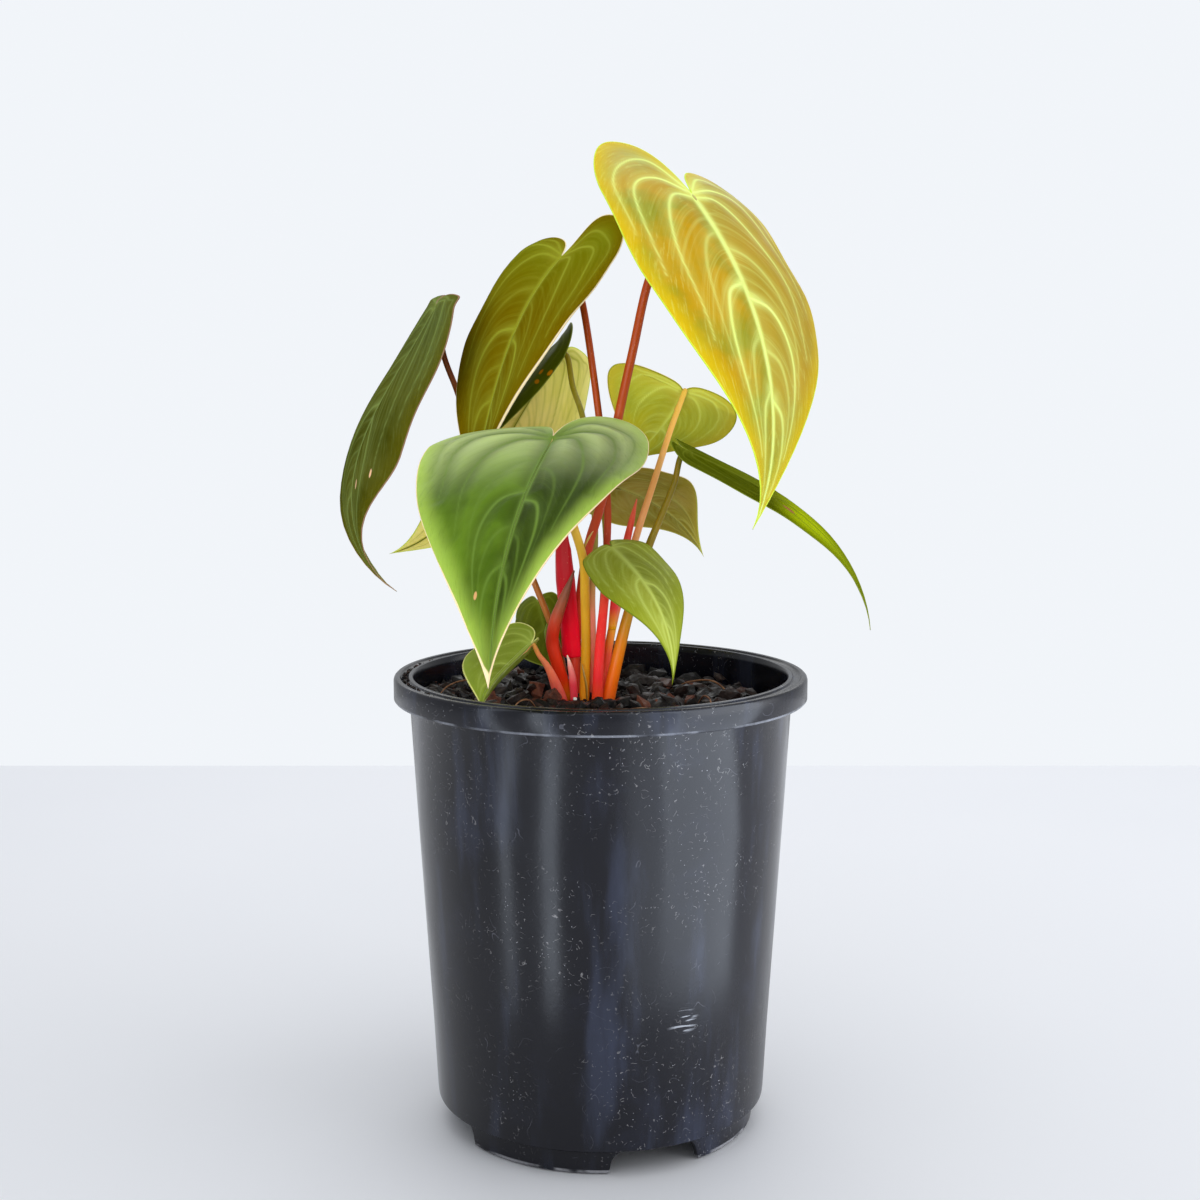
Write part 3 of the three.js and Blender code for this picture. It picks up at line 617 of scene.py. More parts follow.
# Side veins, each with its strength and then its course as (share of the way from midrib to
# margin, place). Place is a share of the length, or of the lobe where it is behind the petiole.
vein_paths = [
    (0.8, [(0, 0), (0.3, -0.6), (0.68, -0.5), (0.85, -0.02), (0.88, 0.2)]),
    (1.0, [(0, 0), (0.32, -0.22), (0.6, -0.08), (0.73, 0.1), (0.8, 0.34)]),
    (0.9, [(0, 0.02), (0.26, 0.03), (0.46, 0.14), (0.57, 0.3), (0.68, 0.52)]),
    (0.45, [(0, 0.17), (0.2, 0.22), (0.36, 0.33), (0.47, 0.48), (0.58, 0.64)]),
    (1.0, [(0, 0.35), (0.22, 0.39), (0.38, 0.5), (0.48, 0.63), (0.6, 0.8)]),
    (0.45, [(0, 0.5), (0.2, 0.55), (0.36, 0.66), (0.48, 0.79)]),
    (0.7, [(0, 0.64), (0.22, 0.69), (0.4, 0.79), (0.52, 0.9)]),
]
faint_between = 2
vein_offset = 0.07


def curve_points(a, b, c, d, steps):
    t = np.linspace(0, 1, steps + 1)[:, None]
    a, b, c, d = (np.array(p, float) for p in (a, b, c, d))
    return (1 - t) ** 3 * a + 3 * (1 - t) ** 2 * t * b + 3 * (1 - t) * t * t * c + t ** 3 * d


def half_outline(leaf, side):
    """From the notch at the petiole round the lobe to the tip, evenly spaced, and where the lobe ends."""
    half, lobe, length = leaf["half"][side], leaf["lobe"][side], leaf["length"]
    widest = leaf["widest"] * length
    low, wide = (0.5 * half, -lobe), (half, widest)
    inner = curve_points((0, 0), (0.05 * half, -0.6 * lobe), (0.15 * half, -lobe), low, lobe_steps)
    shoulder = (half, widest - 0.55 * (widest + lobe))
    outer = curve_points(low, (0.85 * half, -lobe), shoulder, wide, lobe_steps)
    flank = curve_points(
        wide, (half, widest + 0.4 * (length - widest)), (0.07 * half, length * (1 - leaf["tail"])),
        (0, length), flank_steps,
    )
    line = np.vstack([inner, outer[1:], flank[1:]])
    run = np.append(0, np.cumsum(np.hypot(*np.diff(line, axis=0).T)))
    count = max(24, round(run[-1] / blade_step))
    even = np.linspace(0, run[-1], count + 1)
    outline = np.stack([np.interp(even, run, line[:, 0]), np.interp(even, run, line[:, 1])], 1)
    return outline, run[lobe_end] / run[-1]


def midrib_frames(leaf):
    """Points, directions, upper faces and right sides down the midrib."""
    share = np.linspace(0, 1, 2 * midrib_steps + 1)
    base, middle, tip = leaf["droop"]
    fall = base * (1 - share) * (1 - 2 * share) + middle * 4 * share * (1 - share)
    fall = fall + tip * share * (2 * share - 1)
    azimuth = np.radians(leaf["heading"] + leaf["turn"] * share)
    rise = -np.radians(fall)
    roll = np.radians(leaf["roll"][0] * (1 - share) + leaf["roll"][1] * share)[:, None]
    along = np.stack([np.cos(rise) * np.sin(azimuth), -np.cos(rise) * np.cos(azimuth), np.sin(rise)], 1)
    upright = np.stack([-np.sin(rise) * np.sin(azimuth), np.sin(rise) * np.cos(azimuth), np.cos(rise)], 1)
    level = np.cross(upright, along)
    face = upright * np.cos(roll) + level * np.sin(roll)
    right = level * np.cos(roll) - upright * np.sin(roll)
    hops = along[1::2] * leaf["length"] / midrib_steps
    points = np.array(leaf["attach"]) + np.vstack([np.zeros(3), np.cumsum(hops, axis=0)])
    return points, along[::2], face[::2], right[::2]


def bent(leaf, frames, side, x, y):
    """Where the point x out from the midrib and y towards the tip of the flat blade lies."""
    half = leaf["half"][side]
    place = np.clip(y / leaf["length"], 0, 1) * midrib_steps
    steps = np.arange(midrib_steps + 1)
    spot, along, face, right = (
        np.stack([np.interp(place, steps, rows[:, k]) for k in range(3)], -1) for rows in frames
    )
    back = np.minimum(y, 0)
    slope, bend = math.radians(leaf["fold"][side]), math.radians(leaf["curl"][side]) / half
    out = (np.sin(slope + bend * x) - math.sin(slope)) / bend
    down = (math.cos(slope) - np.cos(slope + bend * x)) / bend
    raised = leaf["lift"][side] * (back / leaf["lobe"][side]) ** 2
    wave = 0.5 * (x / half) ** 2 * np.sin(6 * math.pi * y / leaf["length"] + 2 * side) * half / 40
    out = out if side else -out
    lifted = raised - down + wave
    return spot + along * back[:, None] + right * out[:, None] + face * lifted[:, None]


def nearest(points, line):
    """Distance from each point to a line, and how far along the line that is."""
    best = np.full(len(points), 1e9)
    where = np.zeros(len(points))
    for i, (a, b) in enumerate(zip(line, line[1:])):
        hop = b - a
        share = np.clip(((points - a) @ hop) / max(hop @ hop, 1e-9), 0, 1)
        gap = np.hypot(*(points - a - share[:, None] * hop).T)
        closer = gap < best
        best[closer] = gap[closer]
        where[closer] = (i + share[closer]) / (len(line) - 1)
    return best, where


def lay_veins(leaf, side, outline):
    """The side veins of one half as (strength, line), the faint ones between them included."""
    lowest = int(np.argmin(outline[:, 1]))
    outer = outline[lowest:]
    lobe, length = leaf["lobe"][side], leaf["length"]
    routes = []
    for strength, path in vein_paths:
        spots = []
        for share, place in path:
            if side and place > 0.05:
                place += vein_offset * (1 - place)
            y = place * (length if place > 0 else lobe)
            spots.append((share * np.interp(y, outer[:, 1], outer[:, 0]), y))
        routes.append((strength, smooth_route(spots, vein_steps // (len(spots) - 1))))
    lines = list(routes)
    for (_, first), (_, second) in zip(routes, routes[1:]):
        count = min(len(first), len(second))
        first = first[np.linspace(0, len(first) - 1, count).astype(int)]
        second = second[np.linspace(0, len(second) - 1, count).astype(int)]
        for k in range(1, faint_between + 1):
            share = k / (faint_between + 1)
            lines.append((0.0, first * (1 - share) + second * share))
    return lines


def ridge_at(gap, width):
    """1 on a line, fading out on both sides of it over this width."""
    return np.exp(-((gap / width) ** 2))


blade_marks = ("vein", "faint", "inland", "place", "quilt", "lane", "hem", "scar", "right_half_shading")


def half_blade(leaf, frames, side, columns):
    """One half of the blade, in rows from midrib to margin: points, marks and number of rows."""
    length, rib = leaf["length"], leaf["rib"]
    outline, lobe_share = half_outline(leaf, side)
    rows = len(outline)
    run = np.linspace(0, 1, rows)
    foot = length * np.clip((run - lobe_share) / (1 - lobe_share), 0, 1) ** 1.1
    reach = np.linspace(0, 1, columns + 1)
    x = (outline[:, 0][:, None] * reach).ravel()
    y = (foot[:, None] * (1 - reach) + outline[:, 1][:, None] * reach).ravel()
    points = np.stack([x, y], 1)
    rib_width = 1.15 - 0.85 * np.clip(y / length, 0, 1)
    rib_gap = np.hypot(x, np.minimum(y, 0))
    vein = ridge_at(rib_gap, rib_width * rib)
    quilt = 0.9 * ridge_at(rib_gap, rib_quilt_width)
    faint = np.zeros(len(points))
    for strength, line in lay_veins(leaf, side, outline):
        gap, where = nearest(points, line)
        if strength:
            width = rib * (0.75 - 0.5 * where)
            fade = strength * (1 - 0.55 * where ** 2)
            glow = 0.22 + 0.5 * ridge_at(where, 0.14)
            vein = np.maximum(vein, fade * ridge_at(gap, width))
            vein = np.maximum(vein, glow * fade * ridge_at(gap, 3 * width))
            quilt = np.maximum(quilt, fade * ridge_at(gap, quilt_width))
        else:
            faint = np.maximum(faint, (1 - where ** 3) * ridge_at(gap, faint_width))
    margin_gap, _ = nearest(points, outline)
    hems = leaf.get("hem", ([(0, 0.4)], [(0, 0.4)]))[side]
    hem_width = np.interp(y / length, *np.array(hems, float).T)
    hem = np.clip(1.5 - margin_gap / hem_width, 0, 1)
    scar = np.zeros(len(points))
    for scar_side, sx, sy, wide, long in leaf.get("scars", []):
        if scar_side == side:
            scar = np.maximum(scar, np.exp(-((x - sx) / wide) ** 2 - ((y - sy) / long) ** 2))
    lane = np.repeat(run, columns + 1) - 0.26 * np.tile(reach, rows) ** 1.6
    # The share of the right half, where a leaf's painted light and shade for that half goes.
    right_half_shading = np.clip(0.5 + (x if side else -x) / 3, 0, 1)
    inland = np.clip(margin_gap / margin_reach, 0, 1)
    marks = np.stack([vein, faint, inland, y / length, quilt, lane, hem, scar, right_half_shading], 1)
    return bent(leaf, frames, side, x, y), marks, rows


def shared_points(flat):
    """The points to keep where halves and rows meet, and for every point the one that stands for it."""
    keys = {}
    index = np.zeros(len(flat), int)
    kept = []
    for i, spot in enumerate(np.round(flat, 3)):
        key = tuple(spot)
        if key not in keys:
            keys[key] = len(kept)
            kept.append(i)
        index[i] = keys[key]
    return kept, index


def sheet_normals(points, faces):
    sheet = bpy.data.meshes.new("sheet")
    sheet.from_pydata([Vector(p) for p in points], [], faces)
    sheet.update()
    normals = np.zeros(len(points) * 3, np.float32)
    sheet.vertices.foreach_get("normal", normals)
    bpy.data.meshes.remove(sheet)
    return normals.reshape(-1, 3)


def grow_blade(name, leaf):
    """The blade as a closed thin body, quilted along its veins, with its marks on its points."""
    frames = midrib_frames(leaf)
    columns = max(10, round(max(leaf["half"]) / blade_step))
    halves = [half_blade(leaf, frames, side, columns) for side in (0, 1)]
    flat, marks = (np.vstack([half[part] for half in halves]) for part in (0, 1))
    width = columns + 1

    # Both halves share the midrib, and the fan of rows shares the point at the petiole.
    kept, index = shared_points(flat)
    flat, marks = flat[kept], marks[kept]
    upper, rim = [], []
    for side, (_, _, rows) in enumerate(halves):
        first = side * len(halves[0][0])
        for row in range(rows - 1):
            for column in range(columns):
                a = first + row * width + column
                loop = [a, a + width, a + width + 1, a + 1]
                loop = list(dict.fromkeys(int(index[i]) for i in (loop if side else reversed(loop))))
                if len(loop) > 2:
                    upper.append(tuple(loop))
            edge = (first + row * width + columns, first + (row + 1) * width + columns)
            edge = tuple(int(index[i]) for i in (edge if side else reversed(edge)))
            if edge[0] != edge[1]:
                rim.append(edge)
    normals = sheet_normals(flat, upper)
    vein, _, inland, _, quilt = marks.T[:5]
    sunk = quilt_depth * leaf.get("quilt", 1) * np.clip(inland * 6, 0, 1) * quilt
    flat = flat - normals * sunk[:, None]
    half = blade_half_thickness * (0.45 + 0.55 * np.clip(inland * 8, 0, 1))
    ridge = vein_ridge * vein * np.clip(inland * 4, 0, 1)
    top = flat + normals * half[:, None]
    bottom = flat - normals * (half + ridge)[:, None]
    count = len(flat)
    points = [pot_axis + Vector(p) * MM for p in np.vstack([top, bottom])]
    faces = list(upper)
    faces += [tuple(count + i for i in reversed(loop)) for loop in upper]
    faces += [(a, count + a, count + b, b) for a, b in rim]
    blade = solid_piece(name, points, faces)
    for mark, values in zip(blade_marks, marks.T):
        mark_points(blade, mark, np.append(values, values).astype(np.float32))
    undersides = np.zeros(len(blade.data.polygons), np.int32)
    undersides[len(upper):2 * len(upper)] = 1
    blade.data.polygons.foreach_set("material_index", undersides)
    return blade


def blade_skin(name, hues, gloss, roughness, streaky=0.25, faint=0.25, tip=(0.7, 1.0), lobe=0.36):
    """Velvet skin over veins. hues: body, patch, lobe, tip, rim, edge, vein; perhaps right, painted light
    and shade on the right half; valley_shade, painted shade in the quilted folds; scar.
    """
    hues = {part: shade(*paint) for part, paint in hues.items()}
    skin = Finish(name)
    place, inland, vein = skin.mark("place"), skin.mark("inland"), skin.mark("vein")
    stretch = skin.add("ShaderNodeCombineXYZ")
    skin.join(skin.mark("lane"), stretch.inputs["X"])
    skin.join(skin.times(inland, 0.05), stretch.inputs["Y"])
    streaks = skin.add("ShaderNodeTexNoise", Scale=70, Detail=5, Roughness=0.65)
    skin.join(stretch.outputs["Vector"], streaks.inputs["Vector"])
    streak = streaks.outputs["Fac"]
    clouds = skin.grain(46, 4, 0.55)
    colour = skin.mix(skin.window(clouds, 0.36, 0.64), hues["body"], hues["patch"])
    # Painted light and shade: where a leaf gives a right hue, its right half is painted in it, darker where
    # that half lies in shade and lighter where light falls on it.
    if "right" in hues:
        colour = skin.mix(skin.times(skin.mark("right_half_shading"), 0.75), colour, hues["right"])
    colour = skin.mix(skin.window(place, lobe, lobe - 0.5), colour, hues["lobe"])
    colour = skin.mix(skin.window(place, *tip), colour, hues["tip"])
    colour = skin.mix(skin.times(skin.window(inland, 0.7, 0.0), 0.75), colour, hues["rim"])
    colour = skin.mix(skin.times(skin.window(streak, 0.5, 0.68), streaky), colour, hues["vein"])
    colour = skin.mix(skin.times(skin.window(streak, 0.5, 0.34), streaky * 1.4), colour, hues["body"])
    # Painted shade: a leaf that gives a valley shade has it painted into the valleys of its quilting, for
    # the shade in those folds. Without one, the vein colour tints them faintly.
    valley_shade, depth = (hues["valley_shade"], 0.6) if "valley_shade" in hues else (hues["vein"], 0.1)
    colour = skin.mix(skin.times(skin.mark("quilt"), depth), colour, valley_shade)
    colour = skin.mix(skin.times(skin.mark("faint"), faint), colour, hues["vein"])
    colour = skin.mix(skin.times(vein, 0.95), colour, hues["vein"])
    colour = skin.mix(skin.window(skin.mark("hem"), 0.2, 0.8), colour, hues["edge"])
    scar = hues.get("scar", shade(196, 150, 100))
    colour = skin.mix(skin.window(skin.mark("scar"), 0.35, 0.6), colour, scar)
    skin.give(
        Base_Color=colour,
        Roughness=skin.window(skin.grain(120, 3), 0.3, 0.7, roughness - 0.08, roughness + 0.1),
        Normal=skin.relief(skin.grain(1500, 3), 0.00008, 0.5, skin.relief(streak, 0.0003, 0.3)),
    )
    skin.set(
        Sheen_Weight=0.02, Sheen_Roughness=0.35, Sheen_Tint=shade(160, 180, 90), Specular_IOR_Level=gloss,
        Subsurface_Weight=0.25, Subsurface_Scale=0.0015, Subsurface_Radius=(1.0, 0.9, 0.25),
    )
    return skin.material


def petiole_skin(name, stops, mottle):
    """Smooth skin whose colour changes on the way up; stops are (height share, paint)."""
    skin = Finish(name)
    ramp = skin.add("ShaderNodeValToRGB")
    while len(ramp.color_ramp.elements) < len(stops):
        ramp.color_ramp.elements.new(0.5)
    for element, (share, paint) in zip(ramp.color_ramp.elements, stops):
        element.position = share
        element.color = shade(*paint)
    skin.join(skin.mark("rise"), ramp.inputs["Fac"])
    blotches = skin.times(skin.window(skin.grain(210, 4, 0.6, stretch=(1, 1, 0.25)), 0.45, 0.7), 0.3)
    dots = skin.times(skin.window(skin.specks(900, stretch=(1, 1, 0.4)), 0.14, 0.05), 0.2)
    colour = skin.mix(blotches, ramp.outputs["Color"], shade(*mottle))
    colour = skin.mix(dots, colour, shade(232, 190, 150))
    skin.give(
        Base_Color=colour,
        Roughness=skin.window(skin.grain(180, 3), 0.3, 0.7, 0.3, 0.48),
        Normal=skin.relief(skin.grain(650, 3, 0.5, stretch=(1, 1, 0.12)), 0.00025, 0.5),
    )
    skin.set(
        Subsurface_Weight=0.2, Subsurface_Scale=0.0015, Subsurface_Radius=(1.0, 0.45, 0.2),
        Specular_IOR_Level=0.18,
    )
    return skin.material


stem_steps = 9
socket_floor = 138
socket_top = 145
colour_start = 142


def grow_petiole(name, leaf):
    """The stalk from its socket in the crown up to the blade, running out along the midrib below it."""
    points, along, face, _ = midrib_frames(leaf)
    x, y = leaf["stalk"]["base"]
    base, top = leaf["stalk"]["radius"]
    sunk = quilt_depth * leaf.get("quilt", 1)
    joint = points[0] - face[0] * (0.4 + sunk + 0.8 * top) - along[0] * 0.6
    run_out = [points[2] - face[2] * (0.6 + sunk + 0.5 * top), points[4] - face[4] * (0.7 + sunk)]
    route = [(x, y, socket_floor), (x, y, socket_top), *leaf["stalk"]["route"], joint, *run_out]
    line = smooth_route(route, stem_steps)
    steps = len(line)
    share = np.linspace(0, steps / (steps - len(run_out) * stem_steps - 1), steps)
    slim = (1 - np.clip(share, 0, 1)) ** leaf["stalk"].get("slim", 1)
    radii = (top + (base - top) * slim) * np.interp(share, [1, share[-1]], [1, 0.2])
    stalk = tube(name, line, radii)
    height = np.repeat(line[:, 2] - colour_start, stem_sides)
    rise = np.clip(height / (points[0][2] - colour_start), 0, 1)
    stalk.data.attributes["rise"].data.foreach_set("value", rise)
    return stalk


def grow_leaf(name, leaf, upper, under, stalk_skin):
    """A blade with its petiole, in place of their two solids."""
    blade = grow_blade(f"leaf_{name}", leaf)
    blade.data.materials.append(upper)
    blade.data.materials.append(under)
    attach(blade, "root")
    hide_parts(f"blade_{name}")
    stalk = grow_petiole(f"stalk_{name}", leaf)
    stalk.data.materials.append(stalk_skin)
    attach(stalk, "root")
    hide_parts(f"petiole_{name}")


# A leaf is given by attach, where it joins its petiole, in millimetres from the pot's axis; heading,
# the way it points, and turn, how that changes; droop at its base, middle and tip; roll at its base
# and tip; its flat shape; and the fold, curl and lobe lift of its left and right halves. A hem has
# (place, width) down each half, and a scar is (side, distance from the midrib, distance from the
# petiole, half width, half length).
tall_bronze = {
    "attach": (29.1, -12, 313), "heading": 25, "turn": 14, "droop": (35, 65, 124), "roll": (5, 4),
    "length": 125, "half": (35, 39), "lobe": (28, 22), "widest": 0.29, "tail": 0.24,
    "fold": (-7, -3), "curl": (26, 43), "lift": (0, -3), "rib": 1.15,
    "stalk": {
        "base": (-8.4, 5), "radius": (1.9, 1.3),
        "route": [
            (-8.8, 7, 159), (-7.4, 6, 175), (-4.4, 3.5, 196), (0.5, 0, 213.5),
            (5.8, -2, 240.5), (10.7, -3, 263), (15.6, -4, 285), (22.5, -6.5, 301.5),
        ],
    },
}
# Painted light: the right hue paints the blade's right half a greyer bronze, for the sheen of light on that
# half.
bronze_velvet = blade_skin("bronze_velvet", {
    "body": (180, 140, 6), "patch": (138, 136, 30), "lobe": (176, 172, 104), "tip": (106, 130, 16),
    "rim": (208, 180, 14), "right": (170, 142, 46), "edge": (206, 234, 70), "vein": (226, 246, 140),
}, gloss=0.03, roughness=0.45, streaky=0.16, faint=0.05, tip=(0.58, 1.0), lobe=0.14)
bronze_under = blade_skin("bronze_underside", {
    "body": (190, 166, 84), "patch": (184, 168, 96), "lobe": (192, 176, 108), "tip": (166, 172, 76),
    "rim": (200, 168, 80), "edge": (196, 208, 80), "vein": (212, 218, 120),
}, gloss=0.0, roughness=0.55)
red_brown = petiole_skin(
    "red_brown_petiole",
    [(0, (236, 60, 44)), (0.3, (208, 74, 44)), (0.6, (158, 62, 8)), (0.96, (150, 54, 2)),
     (1, (196, 206, 110))],
    (180, 84, 34),
)
grow_leaf("tall_bronze", tall_bronze, bronze_velvet, bronze_under, red_brown)

# The upper olive leaf hangs to the left behind the front one. It has hardened to a deep olive
# with mid-green veins, and its right margin has dried to a thin pinkish hem.
upper_olive = {
    "attach": (-13.1, 26, 295.6), "heading": -58, "turn": -1, "droop": (42, 69, 76), "roll": (14, 11),
    "length": 89, "half": (38.5, 30.5), "lobe": (9, 16), "widest": 0.12, "tail": 0.13,
    "fold": (-17, -18), "curl": (68, 25), "lift": (-3, 4), "rib": 1.0,
    "hem": ([(0, 0.3)], [(-0.1, 0.25), (0.2, 0.3), (0.42, 0.8), (0.62, 1.1), (1, 0.8)]),
    "stalk": {
        "base": (-3, 7.5), "radius": (1.4, 1.15),
        "route": [
            (-0.6, 9.5, 162), (1, 11.5, 178), (2.2, 13, 197), (2.2, 15, 214),
            (-0.6, 18, 241), (-5.7, 22, 276.5), (-9.8, 24.5, 290),
        ],
    },
}
olive_velvet = blade_skin("olive_velvet", {
    "body": (98, 82, 0), "patch": (100, 90, 8), "lobe": (104, 108, 8), "tip": (98, 80, 0),
    "rim": (102, 82, 0), "edge": (232, 212, 170), "vein": (140, 146, 40),
}, gloss=0.0, roughness=0.45, streaky=0.12, faint=0.12)
olive_under = blade_skin("olive_underside", {
    "body": (140, 142, 70), "patch": (148, 140, 84), "lobe": (144, 148, 76), "tip": (136, 142, 60),
    "rim": (138, 142, 60), "edge": (220, 204, 160), "vein": (176, 184, 100),
}, gloss=0.0, roughness=0.55)
grow_leaf("upper_olive", upper_olive, olive_velvet, olive_under, red_brown)

# The left leaf is the darkest: an old blade rolled inward along both sides, hanging nearly
# straight down from a dark petiole, its long tail twisted forward.
left_dark = {
    "attach": (-56.9, 28, 279.2), "heading": -85, "turn": 9, "droop": (63, 71, 147), "roll": (15, 16),
    "length": 113, "half": (28.5, 29.5), "lobe": (4.5, 5.5), "widest": 0.47, "tail": 0.27,
    "fold": (-7, -16), "curl": (42, 52), "lift": (-4, -3), "rib": 0.9,
    "scars": [(1, 18, 63.8, 0.6, 2), (1, 8, 69, 0.4, 2.2)],
    "stalk": {
        "base": (-12.5, 7.2), "radius": (1.2, 1),
        "route": [
            (-13.2, 9.4, 155.5), (-17.1, 11, 169), (-23, 13, 184), (-34.8, 16.5, 213),
            (-42.3, 18.8, 230), (-46.8, 26, 240), (-50.8, 32.5, 250), (-55.5, 33.5, 263.5),
        ],
    },
}
dark_velvet = blade_skin("dark_velvet", {
    "body": (54, 56, 4), "patch": (70, 72, 20), "lobe": (78, 88, 44), "tip": (100, 100, 30),
    "rim": (78, 76, 12), "edge": (150, 118, 96), "vein": (112, 128, 66), "scar": (212, 168, 128),
}, gloss=0.0, roughness=0.48, streaky=0.16, faint=0.25)
dark_under = blade_skin("dark_underside", {
    "body": (122, 130, 70), "patch": (132, 132, 80), "lobe": (126, 134, 76), "tip": (140, 138, 80),
    "rim": (120, 126, 62), "edge": (150, 136, 96), "vein": (164, 172, 104),
}, gloss=0.0, roughness=0.55)
dark_stalk = petiole_skin(
    "dark_petiole",
    [(0, (180, 104, 36)), (0.35, (164, 100, 40)), (0.6, (124, 60, 20)), (1, (108, 42, 12))],
    (140, 92, 44),
)
grow_leaf("left_dark", left_dark, dark_velvet, dark_under, dark_stalk)

# The front leaf faces the viewer, broad and green, with a cream hem that has browned a little towards
# the tip. Its lobes are painted a pale silver, a painted sheen of light on them. Its right half and the
# valleys of its quilting are painted nearly black, as painted shade.
front_green = {
    "attach": (-15, -28, 236), "heading": -11, "turn": -8, "droop": (18, 40, 92), "roll": (0, -23),
    "length": 106, "half": (43, 32), "lobe": (19, 21.5), "widest": 0.08, "tail": 0.14,
    "fold": (-5, -8), "curl": (23, 38), "lift": (-5, -1.5), "rib": 1.15, "quilt": 2.4,
    "hem": (
        [(-0.2, 0.16), (0.6, 0.2), (0.76, 0.6), (0.84, 0.3), (0.94, 0.7), (1, 2.6)],
        [(-0.2, 0.2), (0.1, 0.26), (0.5, 0.34), (0.85, 0.4), (0.94, 0.8), (1, 2.6)],
    ),
    "scars": [(0, 7.3, 78.5, 0.7, 1.6), (0, 24, 71, 0.9, 1.4), (0, 17.4, 79.5, 1.6, 0.8)],
    "stalk": {
        "base": (-5.6, -3), "radius": (1.85, 1.25),
        "route": [(-4.9, -4, 164), (-5.2, -6, 181), (-5.8, -9, 194), (-9.4, -15, 207.5), (-13.4, -24, 224)],
    },
}
# Painted light: the pale silver lobe hue is painted sheen. The right and valley_shade hues are painted
# shade.
green_velvet = blade_skin("green_velvet", {
    "body": (66, 92, 12), "patch": (90, 120, 26), "lobe": (186, 204, 134), "tip": (140, 158, 46),
    "rim": (162, 192, 80), "right": (26, 36, 0), "edge": (238, 210, 168), "vein": (100, 128, 48),
    "valley_shade": (36, 50, 4),
}, gloss=0.05, roughness=0.44, streaky=0.14, faint=0.03, tip=(0.76, 1.0), lobe=0.4)
green_under = blade_skin("green_underside", {
    "body": (142, 158, 86), "patch": (150, 158, 94), "lobe": (150, 164, 98), "tip": (158, 170, 90),
    "rim": (146, 160, 82), "edge": (220, 206, 160), "vein": (184, 196, 126),
}, gloss=0.0, roughness=0.55)
amber_stalk = petiole_skin(
    "amber_petiole",
    [(0, (236, 146, 20)), (0.25, (206, 148, 22)), (0.5, (238, 182, 46)), (0.8, (248, 206, 92)),
     (1, (250, 224, 140))],
    (176, 130, 30),
)
grow_leaf(
    "front_green", front_green, green_velvet, green_under, amber_stalk
)

# The pale leaf stands behind the others, folded like a tent: its near half is dark green with
# dry orange spots and its far half hangs down, so that its pale underside shows.
back_pale = {
    "attach": (-14.1, 46, 262.6), "heading": -91, "turn": -6, "droop": (49, 57, 16), "roll": (-13, -59),
    "length": 99, "half": (29.5, 28.5), "lobe": (5, 10.5), "widest": 0.26, "tail": 0.2,
    "fold": (11, -26), "curl": (24, 105), "lift": (1.5, 0.5), "rib": 0.85,
    "scars": [(1, 26, 7.4, 0.9, 1.5), (1, 24.5, 12.5, 1.2, 1), (1, 27, 2.5, 0.8, 1), (1, 22.5, 9, 0.7, 1.3)],
    "stalk": {
        "base": (-2.8, 1), "radius": (1.2, 1),
        "route": [
            (-2.7, 3.5, 165), (-2.9, 8, 181.5), (-1.9, 13.5, 200), (-3, 20.5, 220),
            (-6.2, 32.5, 239.5), (-9.9, 41, 250.5),
        ],
    },
}
deep_velvet = blade_skin("deep_green_velvet", {
    "body": (70, 78, 0), "patch": (84, 92, 2), "lobe": (80, 90, 4), "tip": (120, 120, 14),
    "rim": (74, 84, 2), "edge": (120, 132, 50), "vein": (104, 116, 30), "scar": (196, 124, 6),
}, gloss=0.05, roughness=0.48, streaky=0.1, faint=0.1)
pale_under = blade_skin("pale_underside", {
    "body": (240, 220, 140), "patch": (222, 208, 104), "lobe": (226, 222, 112), "tip": (196, 184, 56),
    "rim": (236, 226, 140), "edge": (200, 212, 90), "vein": (168, 168, 62),
}, gloss=0.0, roughness=0.55, streaky=0.2, faint=0.4)
olive_stalk = petiole_skin(
    "olive_petiole",
    [(0, (240, 92, 84)), (0.25, (236, 132, 110)), (0.38, (180, 168, 80)), (0.7, (150, 146, 44)),
     (1, (130, 114, 16))],
    (170, 160, 90),
)
grow_leaf("back_pale", back_pale, deep_velvet, pale_under, olive_stalk)

# Two leaves face away at the right, so that their green-olive undersides show round the orange
# petiole of the upper one, which stands in front of both.
right_upper = {
    "attach": (29, 30, 249.2), "heading": -122, "turn": 27, "droop": (60, 45, 35), "roll": (-48, 14),
    "length": 44, "half": (23, 30), "lobe": (4, 3), "widest": 0.15, "tail": 0.25,
    "fold": (2, 0), "curl": (15, 10), "lift": (0, -1), "rib": 0.8,
    "stalk": {
        "base": (1, 6), "radius": (1.7, 0.95),
        "route": [
            (2.6, 9, 160.5), (5.9, 13, 176), (12, 17.5, 198), (18.6, 19.5, 218.5), (24.3, 25.5, 235.5),
        ],
    },
}
lime_under = blade_skin("lime_underside", {
    "body": (176, 170, 30), "patch": (150, 156, 40), "lobe": (164, 168, 56), "tip": (156, 176, 16),
    "rim": (182, 166, 48), "edge": (142, 148, 34), "vein": (196, 206, 92),
}, gloss=0.0, roughness=0.55, streaky=0.2, faint=0.2)
orange_stalk = petiole_skin(
    "orange_petiole",
    [(0, (240, 50, 40)), (0.16, (244, 84, 50)), (0.24, (246, 170, 40)), (0.3, (244, 84, 60)),
     (0.46, (250, 166, 108)), (0.8, (242, 180, 98)), (1, (222, 180, 70))],
    (252, 206, 150),
)
grow_leaf(
    "right_upper", right_upper, green_velvet, lime_under, orange_stalk
)

